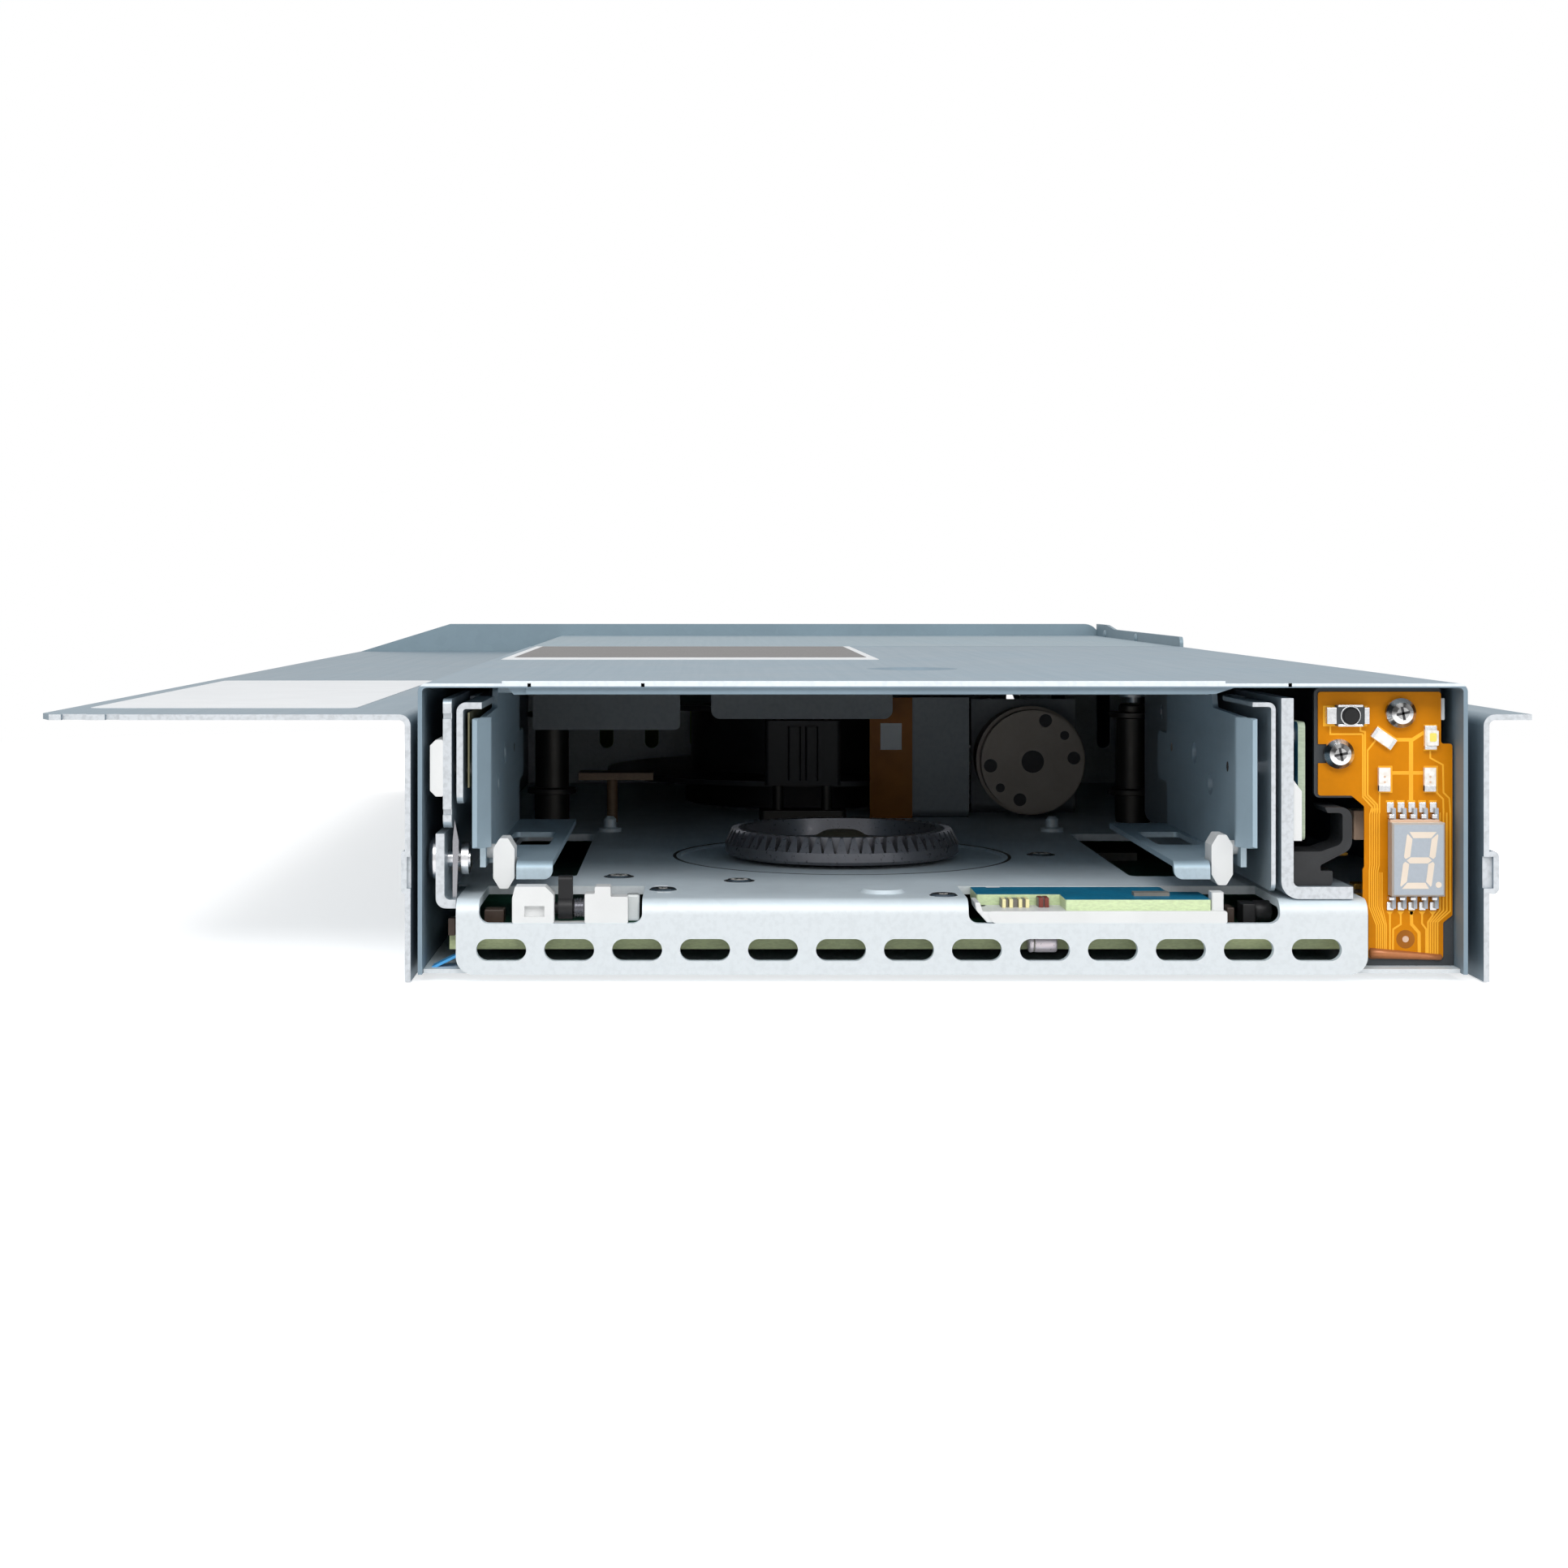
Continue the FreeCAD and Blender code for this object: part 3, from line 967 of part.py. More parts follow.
def glide_pad():
    x = (SLIDER[0] - GLIDE_T, SLIDER[0])
    z, c = GLIDE_Z, 0.8
    points = [(x[1], z[0]), (x[1], z[1]), (x[0] + c, z[1]), (x[0], z[1] - c), (x[0], z[0] + c),
              (x[0] + c, z[0])]
    return prism("xz", points, (BRACKET_FRONT, BRACKET_FRONT + GLIDE_LENGTH), radius=0.2)


def side_frame_left():
    """The left frame: a low wall with a turned-in foot, and two ears that carry the slider's posts."""
    x = FRAME_L
    foot = DECK_X[0] - 0.1
    path = [(x[0], FRAME_L_TOP), (x[0], FRAME_L_BOTTOM), (foot, FRAME_L_BOTTOM)]
    front = sheet("xz", path, FRAME_L_T, (FRAME_FRONT, NOTCH_DEPTH + 0.5), SHEET_BEND)
    wall = block(x, (NOTCH_DEPTH + 0.5, FRAME_REAR), (DECK_TOP, FRAME_L_TOP))
    ear_x = (x[0] - 2 * FRAME_L_GAP, SLIDER[0] - FRAME_L_GAP)
    ears, posts = [], []
    for y in POST_YS:
        span = (y - FRAME_EAR / 2, y + FRAME_EAR / 2)
        ears.append(rounded_box("yz", span, (DECK_TOP + 3, POST_Z + 3), ear_x, 2.0))
        posts.append(rod("x", (y, POST_Z), (ear_x[0], BRACKET_L[1] + 0.3), POST_DIAMETER))
    hole = rod("x", STOP_SCREW, (x[0] - 1, x[1] + 1), POST_DIAMETER)
    return joined(front, wall, *ears, *posts).cut(hole)


def side_frame_right():
    """The right frame: a thick upright plate with a foot turned out, and pads for the side board."""
    x = FRAME_R
    path = [(x[1] + FRAME_R_FOOT, DECK_TOP), (x[0], DECK_TOP), (x[0], FRAME_R_TOP)]
    body = sheet("xz", path[::-1], FRAME_R_T, (FRAME_FRONT, FRAME_REAR), SHEET_BEND)
    (low, high), front, rear = SIDE_BOARD_Z, SIDE_BOARD_FRONT, SIDE_BOARD_FRONT + SIDE_BOARD_LENGTH
    spots = [(front + 3.5, high - 2), ((front + rear) / 2, low + 3), (rear - 3.5, low + 3)]
    pads = [rod("x", spot, (x[1] - 0.2, x[1] + SIDE_BOARD_OFF), SIDE_BOARD_PAD) for spot in spots]
    body = joined(body, *pads)
    half = POST_HOLE / 2
    cutters = []
    for y in GUIDE_YS:
        corners = [(y - half, GUIDE_Z - half), (y + LOAD_TRAVEL + half, GUIDE_Z - half),
                   (y + LOAD_TRAVEL + half, GUIDE_Z + half), (y - half, GUIDE_Z + half)]
        cutters.append(prism("yz", corners, (x[0] - 1, x[1] + 1), radius=0.998 * half))
    cutters.append(rounded_box("yz", (46.0, 62.0), (17.0, 26.0), (x[0] - 1, x[1] + 1), 2.0))
    return cut_all(body, cutters)


def frame_screws():
    """The deck's flush screws, and a screw through the left frame with a nut on its tip."""
    flush = [flush_screw("z", where, DECK_TOP, 1, DECK_SCREW, DECK_SCREW / 2, DECK_T + 1.5)
             for where in DECK_SCREW_PLACES]
    x = FRAME_L
    head = 6.4
    profile = [(0, x[1] + 3.2), (POST_DIAMETER / 2, x[1] + 3.2), (POST_DIAMETER / 2, x[0]), (head / 2, x[0]),
               (head / 2, x[0] - 0.7), (0.38 * head, x[0] - 1.3), (0, x[0] - 1.3)]
    screw = turned("x", STOP_SCREW, profile)
    nut = rod("x", STOP_SCREW, (x[1] + 2.0, x[1] + 3.0), 4.6)
    nut = nut.cut(rod("x", STOP_SCREW, (x[1], x[1] + 4), POST_DIAMETER))
    return flush + [screw, nut]


def spring_plate():
    """A pointed leaf that stands on the left frame's foot."""
    low = FRAME_L_BOTTOM + FRAME_L_T
    x = (FRAME_L[1] + 1.0, DECK_X[0] - 0.15)
    points = [(x[0], low), (x[1], low), (x[1] + 0.3, low + 8), ((x[0] + x[1]) / 2, low + 11), (x[0], low + 8)]
    return prism("xz", points, (2.6, 3.0))


# ---- the reel drive and the tape path ----
def reel_motor():
    """A flat motor under the deck with a boss and a shaft that stand up through it."""
    low, top = 1.2, DECK_UNDER
    r, s = MOTOR_DIAMETER / 2, SHAFT / 2
    profile = [(0, low), (r - 1, low), (r, low + 1), (r, top), (SHAFT, top), (SHAFT, GEAR_BASE - RUNNING_GAP),
               (s, GEAR_BASE - RUNNING_GAP), (s, GEAR_TOP - HUB_HEIGHT), (0, GEAR_TOP - HUB_HEIGHT)]
    return turned("z", REEL, profile)


def reel_gear():
    """The drive gear: a dished ring whose bevelled rim carries upright teeth for the cartridge."""
    r, bore = GEAR_DIAMETER / 2, SHAFT / 2 + RUNNING_GAP
    root = GEAR_TOP - GEAR_TOOTH_DEPTH
    web = GEAR_BASE + GEAR_WEB
    profile = [(bore, GEAR_BASE), (r - 0.6, GEAR_BASE), (r, GEAR_BASE + 0.5), (r, root),
               (r - GEAR_BEVEL, GEAR_TOP), (r - GEAR_WALL, GEAR_TOP), (r - GEAR_WALL - 0.5, web), (bore, web)]
    body = turned("z", REEL, profile)
    middle, half, inside = REEL[1], GEAR_TOOTH_SPACE / 2, r - GEAR_TOOTH_LENGTH
    space = prism("yz", [(middle - half, GEAR_TOP + 0.1), (middle - 0.15, root), (middle + 0.15, root),
                         (middle + half, GEAR_TOP + 0.1)], (REEL[0] + inside, REEL[0] + r + 1))
    spaces = Part.Compound(around(space, Vector(*REEL, 0), GEAR_TEETH))
    return body.cut(spaces)


def gear_hub():
    """A brass cone pressed on the gear's web over the shaft."""
    web, bore, r = GEAR_BASE + GEAR_WEB, SHAFT / 2 + RUNNING_GAP, HUB_DIAMETER / 2
    top = GEAR_TOP - 0.5
    inside = GEAR_TOP - HUB_HEIGHT + RUNNING_GAP
    profile = [(bore, web), (r, web), (r - 0.3, web + 0.8), (0.55 * r, top - 0.2), (0.45 * r, top), (0, top),
               (0, inside), (bore, inside)]
    return turned("z", REEL, profile)


def takeup_motor():
    """A flat motor on the deck whose shaft carries the take-up reel."""
    top = TAKEUP_BOTTOM - 0.3
    r, s = MOTOR_DIAMETER / 2, SHAFT / 2
    tip = TAKEUP_BOTTOM + 8
    profile = [(0, DECK_TOP), (r, DECK_TOP), (r, top - 1), (r - 1, top), (s, top), (s, tip), (0, tip)]
    return turned("z", TAKEUP, profile)


def takeup_reel():
    """A hub between two flanges that takes the tape off the cartridge."""
    low, t = TAKEUP_BOTTOM, TAKEUP_FLANGE_T
    top = low + 2 * t + TAPE_GAP
    r, hub, bore = TAKEUP_DIAMETER / 2, TAKEUP_HUB / 2, SHAFT / 2 + RUNNING_GAP
    profile = [(bore, low), (r, low), (r, low + t), (hub, low + t), (hub, top - t), (r, top - t), (r, top),
               (hub - 4, top), (hub - 6, low + 3), (bore, low + 3)]
    body = turned("z", TAKEUP, profile)
    entry = block((TAKEUP[0] - 2.2, TAKEUP[0] + 2.2), (TAKEUP[1] - hub - 1, TAKEUP[1] - hub + 5),
                  (low + t, top + 1))
    windows = [rod("z", (TAKEUP[0] + (hub + r) / 2, TAKEUP[1]), (top - t - 1, top + 1), 9.0)]
    return cut_all(body, [entry] + around(windows[0], Vector(*TAKEUP, 0), 6))


def roller(where):
    """A flanged tape guide roller with a running bore."""
    r, bore, low = ROLLER_DIAMETER / 2, 1.5 + RUNNING_GAP, ROLLER_LOW
    top = low + TAPE_GAP + 2
    profile = [(bore, low), (r, low), (r, low + 0.8), (r - 1.4, low + 1.1), (r - 1.4, top - 1.1),
               (r, top - 0.8), (r, top), (bore, top)]
    return turned("z", where, profile)


def roller_left():
    return roller(ROLLER_LEFT)


def roller_right():
    return roller(ROLLER_RIGHT)


def path_posts():
    """Capped pins on the deck: two for the guide rollers and one for the threading arm."""
    top = ROLLER_LOW + TAPE_GAP + 2
    profile = [(0, DECK_TOP), (3.2, DECK_TOP), (3.2, ROLLER_LOW - 0.2), (1.5, ROLLER_LOW - 0.2),
               (1.5, top + 0.2), (2.6, top + 0.2), (2.6, top + 1.2), (2.2, top + 1.6), (0, top + 1.6)]
    posts = [turned("z", where, profile) for where in (ROLLER_LEFT, ROLLER_RIGHT)]
    top, r = ARM_Z + ARM_T + 0.2, SHAFT / 2
    profile = [(0, DECK_TOP), (3.5, DECK_TOP), (3.5, ARM_Z - 0.2), (r, ARM_Z - 0.2), (r, top), (3.0, top),
               (3.0, top + 0.8), (0, top + 0.8)]
    return posts + [turned("z", ARM_PIVOT, profile)]


def head_rods():
    """The head's bed on the deck and the two rods that it climbs."""
    bed = rounded_box("xy", (HEAD_X - 8, HEAD_X + 8), (HEAD_Y - 3, HEAD_Y + 3.4),
                      (DECK_TOP, DECK_TOP + 2), 1.0)
    z = (DECK_TOP + 1, HEAD_LOW + HEAD_HEIGHT + HEAD_TRAVEL + 4)
    rods = [rod("z", (HEAD_X + dx, HEAD_Y), z, HEAD_ROD) for dx in (-HEAD_ROD_SPAN / 2, HEAD_ROD_SPAN / 2)]
    return joined(bed, *rods)


def tape_head():
    """The head block, stepped up and down across the tape on its rods."""
    x = (HEAD_X - HEAD_WIDTH / 2, HEAD_X + HEAD_WIDTH / 2)
    y = (HEAD_Y - HEAD_DEPTH / 2, HEAD_Y + HEAD_DEPTH / 2)
    z = (HEAD_LOW, HEAD_LOW + HEAD_HEIGHT)
    body = rounded_box("xy", x, y, z, 0.8)
    faces = [rounded_box("xy", (HEAD_X + dx - 1.2, HEAD_X + dx + 1.2), (y[0] - 0.8, y[0] + 0.5),
                         (z[0] + 1, z[1] - 1), 0.5) for dx in (-1.6, 1.6)]
    bores = [rod("z", (HEAD_X + dx, HEAD_Y), (z[0] - 1, z[1] + 1), HEAD_ROD + 2 * RUNNING_GAP)
             for dx in (-HEAD_ROD_SPAN / 2, HEAD_ROD_SPAN / 2)]
    return cut_all(joined(body, *faces), bores)


def head_shield():
    """Plates that hang from the cover in front of the head and over the threading path."""
    top, t = COVER_UNDER, 0.8
    hung = prism("xz", [(SHIELD_X[0], top - SHIELD_DROP), (SHIELD_X[1], top - SHIELD_DROP),
                        (SHIELD_X[1], top), (SHIELD_X[0], top)], (SHIELD_Y, SHIELD_Y + t),
                 radii=[1.6, 1.6, 0, 0])
    eave = block(SHIELD_X, (SHIELD_Y, SHIELD_Y + 7), (top - t, top))
    side = (TRAY_OUT[0], TRAY_OUT[0] + 27)
    guide = prism("xz", [(side[0], 27.6), (side[1], 27.6), (side[1], top), (side[0], top)],
                  (SHIELD_Y - 2, SHIELD_Y - 2 + t), radii=[0, 1, 0, 0])
    return [joined(hung, eave), guide]


def head_flex():
    """The brown ribbon that rises from the deck to the head's plate."""
    return block(HEAD_FLEX_X, (HEAD_PLATE_Y - 0.3, HEAD_PLATE_Y), (DECK_TOP, HEAD_PLATE_TOP))


def path_brackets():
    """Two upright plates with feet on the deck: one beside the head, one behind the loader motor."""
    path = [(HEAD_PLATE_Y, HEAD_PLATE_TOP), (HEAD_PLATE_Y, DECK_TOP), (HEAD_PLATE_Y + 5.5, DECK_TOP)]
    beside_head = sheet("yz", path, 0.8, HEAD_PLATE_X, SHEET_BEND)
    x, z = LOADER_MOTOR
    y = LOADER_MOTOR_Y[1]
    path = [(y, z + 11), (y, DECK_TOP), (y + 7, DECK_TOP)]
    return [beside_head, sheet("yz", path, 1.0, (x - 10, x + 10), SHEET_BEND)]


def path_sensor():
    """A small board on a post beside the left guide roller."""
    middle = (PATH_BOARD_X[0] + 6.1, PATH_BOARD_Y[0] + 2.5)
    post = rod("z", middle, (DECK_TOP, PATH_BOARD_Z), 2.0)
    board = block(PATH_BOARD_X, PATH_BOARD_Y, (PATH_BOARD_Z, PATH_BOARD_Z + PATH_BOARD_T))
    return joined(post, board)


def loader_motor():
    """A round motor along the depth: its front plate has a ring of holes about the shaft's hole."""
    (x, z), y = LOADER_MOTOR, LOADER_MOTOR_Y
    can = rod("y", LOADER_MOTOR, y, LOADER_MOTOR_DIAMETER)
    cutters = [rod("y", LOADER_MOTOR, (y[0] - 1, y[0] + 3), 4.2)]
    ring = 0.4 * LOADER_MOTOR_DIAMETER
    for angle, size in ((3, 1.9), (72.5, 1.9), (184.7, 1.9), (250.3, 1.9), (38, 1.1), (218, 1.1)):
        a = math.radians(angle)
        spot = (x + ring * math.cos(a), z + ring * math.sin(a))
        cutters.append(rod("y", spot, (y[0] - 1, y[0] + 2), size))
    cap = rod("y", LOADER_MOTOR, (y[0] + 3, y[0] + 4), LOADER_MOTOR_DIAMETER + 1.2)
    return joined(cut_all(can, cutters), cap)


def threading_arm():
    """A curved arm that carries the tape's leader pin from the cartridge to the take-up reel."""
    (x, y), r = ARM_PIVOT, ARM_REACH
    z = (ARM_Z, ARM_Z + ARM_T)
    blade = prism("xy", [(x - 4.5, y - 3.5), (x + r * 0.5, y - 5.5), (x + r, y - 2.5), (x + r, y + 2.5),
                         (x + r * 0.5, y - 0.5), (x - 4.5, y + 4.5)], z, radii=[3, 14, 2, 2, 10, 3])
    hub = rod("z", ARM_PIVOT, z, 12.0)
    claw = rod("z", (x + r - 1.5, y), (ARM_Z - ARM_CLAW, ARM_Z + ARM_T), 2.4)
    bore = rod("z", ARM_PIVOT, (z[0] - 1, z[1] + 1), SHAFT + 2 * RUNNING_GAP)
    body = joined(blade, hub, claw).cut(bore)
    body.rotate(Vector(x, y, 0), Vector(0, 0, 1), ARM_REST_ANGLE)
    return body


# ---- boards ----
def logic_board():
    x = (DECK_X[0] - 1.3, DECK_X[1] - 1.1)
    z = (LOGIC_BOARD_BOTTOM, LOGIC_BOARD_TOP)
    body = block(x, (LOGIC_BOARD_FRONT, DECK_REAR - 12), z)
    return body.cut(rod("z", REEL, (z[0] - 1, z[1] + 1), MOTOR_DIAMETER + 1.0))


def board_parts():
    """What is soldered to the logic, sensor and interface boards."""
    can_y = LOGIC_BOARD_FRONT - CAN_DIAMETER / 2
    can_z = (LOGIC_BOARD_BOTTOM + LOGIC_BOARD_TOP) / 2
    parts = [rod("x", (can_y, can_z), (12.4, 12.4 + CAN_LENGTH), CAN_DIAMETER)]
    top = LOGIC_BOARD_TOP
    chips = ((-52, 40, 14, 14, 1.2), (24, 98, 20, 20, 1.4), (-20, 104, 12, 12, 1.0), (-48, 96, 10, 16, 1.0),
             (30, 30, 9, 9, 1.2), (-10, 140, 28, 12, 1.6), (38, 140, 16, 16, 1.4), (-50, 140, 12, 20, 1.2))
    parts += [block((x, x + w), (y, y + d), (top, top + h)) for x, y, w, d, h in chips]
    left = DECK_X[0] - 1.3
    edge = LOGIC_BOARD_FRONT + 0.4
    parts.append(block((left + 0.2, left + 1.2), (edge, edge + 3), (top, top + 2.2)))
    low, x = SENSOR_BOARD_BOTTOM, SENSOR_BOARD_X[0]
    parts += [block((x + 3.2 + 1.3 * i, x + 4.2 + 1.3 * i), (4.4, 6.8), (low, low + 1.1)) for i in range(3)]
    parts.append(block((x + 8.4, x + 9.6), (4.6, 6.6), (low, low + 1.3)))
    high = low + SENSOR_BOARD_T
    parts.append(block((x + 22.0, x + 27.0), (5.0, 7.0), (high, high + 0.5)))
    front = PANEL_FRONT - BOARD_SETBACK - INTERFACE_BOARD_T
    parts.append(block((PORT_XS[0] + 4, PORT_XS[0] + 15), (front - 1.2, front), (20, 29)))
    return parts


def sensor_board():
    """The cartridge sensor board with a step cut out of its front edge."""
    (x0, x1), deep = SENSOR_BOARD_X, NOTCH_DEPTH - 0.2
    step = x0 + SENSOR_BOARD_NOTCH
    points = [(x0, 7.0), (step, 7.0), (step, 1.0), (x1, 1.0), (x1, 10.0), (x1 - 4.5, 10.0), (x1 - 4.5, deep),
              (x0, deep)]
    return prism("xy", points, (SENSOR_BOARD_BOTTOM, SENSOR_BOARD_BOTTOM + SENSOR_BOARD_T), radius=0.3)


def sensor_holder():
    """The white carrier: a plate in the deck's right notch with a post at its right end."""
    x = (SENSOR_BOARD_X[0] + 0.45, SENSOR_BOARD_X[1] + 2.1)
    z = (NOTCH_BOTTOM, SENSOR_BOARD_BOTTOM)
    base = prism("xz", [(x[0] + 1.2, z[0]), (x[1], z[0]), (x[1], z[1]), (x[0], z[1])],
                 (0.2, NOTCH_DEPTH - 0.4), radii=[0.8, 0.3, 0.3, 0.8])
    post = rounded_box("xy", (SENSOR_BOARD_X[1] + 0.1, SENSOR_BOARD_X[1] + 1.8), (1.0, 3.6),
                       (z[0] + 0.5, TRAY_FLOOR - TRAY_LIP_DROP - TRAY_DROP), 0.3)
    return joined(base, post)


def side_board():
    """A small board held off the right frame by the pads pressed out of the frame."""
    x = (FRAME_R[1] + SIDE_BOARD_OFF, FRAME_R[1] + SIDE_BOARD_OFF + SIDE_BOARD_T)
    return rounded_box("yz", (SIDE_BOARD_FRONT, SIDE_BOARD_FRONT + SIDE_BOARD_LENGTH), SIDE_BOARD_Z, x, 0.8)


def side_connector():
    """A white plug-in connector low between the side board and the frame, hooked round the board's edge."""
    x, z, off = FRAME_R[1], SIDE_BOARD_Z[0], SIDE_BOARD_OFF
    top = z + CONNECTOR_HEIGHT
    shell = prism("xz", [(x, z), (x + off, z), (x + off, top - 1.1), (x, top)], (SIDE_BOARD_FRONT, 9.0))
    hook = prism("xz", [(x, z), (x + off + 0.35, z), (x + off + 0.35, top - 1.6), (x, top)],
                 (SIDE_BOARD_FRONT - 0.8, SIDE_BOARD_FRONT))
    return joined(shell, hook)


def guide_hook():
    """A black moulded clip on the right frame's foot: a thick base, a slot and an arm that curls back."""
    x, z = FRAME_R[1] + 0.1, DECK_TOP + FRAME_R_T
    base, neck, out, arm = HOOK_BASE, HOOK_NECK, HOOK_REACH, HOOK_ARM
    points = [(x, z), (x + base, z), (x + base, z + 2.1), (x + neck, z + 2.1), (x + neck, z + 2.9),
              (x + out, z + 5.2), (x + out, z + HOOK_HEIGHT), (x + neck + 0.6, z + HOOK_HEIGHT),
              (x + neck + 1.0, z + HOOK_HEIGHT - 0.6 * arm), (x + out - arm, z + HOOK_HEIGHT - 0.6 * arm),
              (x + out - arm, z + 5.9), (x + neck, z + 4.8), (x, z + 4.8)]
    corner = SHEET_BEND + 0.2
    radii = [corner, 0.6, 0.2, 0.2, 0.3, 1.8, 1.5, 0.1, 0.1, 0.5, 1.2, 1.0, 0.3]
    return prism("xz", points, HOOK_Y, radii=radii)


# ---- the operator panel ----
def flex_outline():
    """The display flex seen from the front: a wide head, a narrower body and a tail."""
    left, right = FLEX_X
    top, low = FLEX_TOP, FLEX_BOTTOM
    waist, tail = left + 6.5, left + 7.1
    step = right - FLEX_STEP[0], top - FLEX_STEP[1]
    return [(left, top), (step[0], top), step, (right, step[1]), (right, low + 6.1),
            (right - 1.3, low + 5.1), (right - 1.3, low), (tail, low), (tail, low + 6.2),
            (waist - 0.2, low + 7.0), (waist - 0.2, low + 12.6), (waist, low + 12.9),
            (waist, top - 16.1), (waist - 1.8, top - 14.6),
            (left, top - 14.6)]


def display_flex():
    """The flex, with a screw hole inside it and a slot for the screw at its edge."""
    shape = prism("xz", flex_outline(), (FLEX_Y, FLEX_Y + FLEX_T), radius=0.4)
    x, z = panel_screw_places()[0]
    slot = block((FLEX_X[0] - 1, x), (FLEX_Y - 1, FLEX_Y + FLEX_T), (z - FLEX_SLOT / 2, z + FLEX_SLOT / 2))
    return cut_all(shape, panel_screw_holes() + [slot])


def panel_screw_places():
    left, top = FLEX_X[0], FLEX_TOP
    return (left + 2.8, top - 8.7), (left + 11.5, top - 2.95)


def panel_screw_holes():
    span = (FLEX_Y - 1, BACKING_Y[1] + 1)
    return [rod("y", where, span, PANEL_SCREW_HEAD / 2) for where in panel_screw_places()]


def panel_screws():
    return [pan_screw("y", where, FLEX_Y, -1, PANEL_SCREW_HEAD, PANEL_SCREW_HEAD / 2, 3.0)
            for where in panel_screw_places()]


def display_bracket():
    """A sheet bracket behind the flex that stands on the bottom cover by a foot."""
    left, right = FLEX_X[0] - 0.5, INNER - 0.1
    low, top, waist = COVER_FLOOR, FLEX_TOP + 0.5, FLEX_X[0] + 6.7
    step = FLEX_X[1] - FLEX_STEP[0], FLEX_TOP - FLEX_STEP[1] - 0.5
    points = [(waist, low), (right, low), (right, step[1]), step, (step[0], top), (left, top),
              (left, top - 15.4), (waist, top - 15.4)]
    plate = prism("xz", points, BACKING_Y, radii=[0, 0, 0.4, 0.4, 0.4, 0.8, 0.8, 0.4])
    foot = block((waist, right), (BACKING_Y[0], BACKING_Y[0] + 8), (low, low + BACKING_T))
    return cut_all(joined(plate, foot), panel_screw_holes())


def display_places():
    """The left edge and the bottom edge of the seven-segment display."""
    return FLEX_X[0] + 9.75, FLEX_TOP - 28.5


def display_module():
    """The display's body with its pins bent down to the flex above and below."""
    left, low = display_places()
    y = (FLEX_Y - DISPLAY_DEPTH, FLEX_Y)
    body = block((left, left + DISPLAY_WIDTH), (y[0], y[1] - 0.3), (low, low + DISPLAY_HEIGHT))
    body = body.makeChamfer(0.25, [e for e in body.Edges if abs(e.CenterOfMass.y - y[0]) < 1e-6])
    pins = []
    middle = left + DISPLAY_WIDTH / 2
    for i in range(DISPLAY_PINS):
        x = middle + (i - (DISPLAY_PINS - 1) / 2) * DISPLAY_PIN_PITCH
        for z in ((low - 1.9, low), (low + DISPLAY_HEIGHT, low + DISPLAY_HEIGHT + 1.9)):
            pins.append(block((x - 0.25, x + 0.25), (y[1] - 0.9, y[1]), z))
    seat = block((left + 0.6, left + DISPLAY_WIDTH - 0.6), (y[1] - 0.4, y[1]), (low, low + DISPLAY_HEIGHT))
    return joined(body, seat, *pins)


def indicator_lamps():
    left, top = FLEX_X[0], FLEX_TOP
    y = (FLEX_Y - LAMP_T, FLEX_Y)
    w, h = LAMP[0] / 2, LAMP[1] / 2
    lamps = [block((left + x - w, left + x + w), y, (top - z - h, top - z + h))
             for x, z in ((9.2, 12.3), (15.6, 12.3), (15.7, 6.4))]
    slanted = block((left + 9.1 - h, left + 9.1 + h), y, (top - 6.5 - w, top - 6.5 + w))
    slanted.rotate(Vector(left + 9.1, 0, top - 6.5), Vector(0, 1, 0), 35)
    return lamps + [slanted]


def button_place():
    return FLEX_X[0] + 4.25, FLEX_TOP - 3.3


def eject_switch():
    """The switch's square body with a side tab at each end; the button stands in its well."""
    x, z = button_place()
    y = (FLEX_Y - SWITCH_DEPTH, FLEX_Y)
    body = block((x - 1.9, x + 1.9), y, (z - 1.4, z + 1.4))
    tabs = [block((x + way * 1.9 - 0.7, x + way * 1.9 + 0.7), (FLEX_Y - 0.5, FLEX_Y), (z - 1.0, z + 1.0))
            for way in (-1, 1)]
    depth = BUTTON_SEAT + BUTTON_TRAVEL + RUNNING_GAP
    well = rod("y", (x, z), (y[0] - 1, y[0] + depth), BUTTON + 2 * PIN_GAP)
    return joined(body, *tabs).cut(well)


def eject_button():
    x, z = button_place()
    front, r = FLEX_Y - SWITCH_DEPTH, BUTTON / 2
    profile = [(0, front + BUTTON_SEAT), (r, front + BUTTON_SEAT), (r, front - 0.35),
               (r - 0.25, front - 0.6), (0, front - 0.6)]
    return turned("y", (x, z), profile)


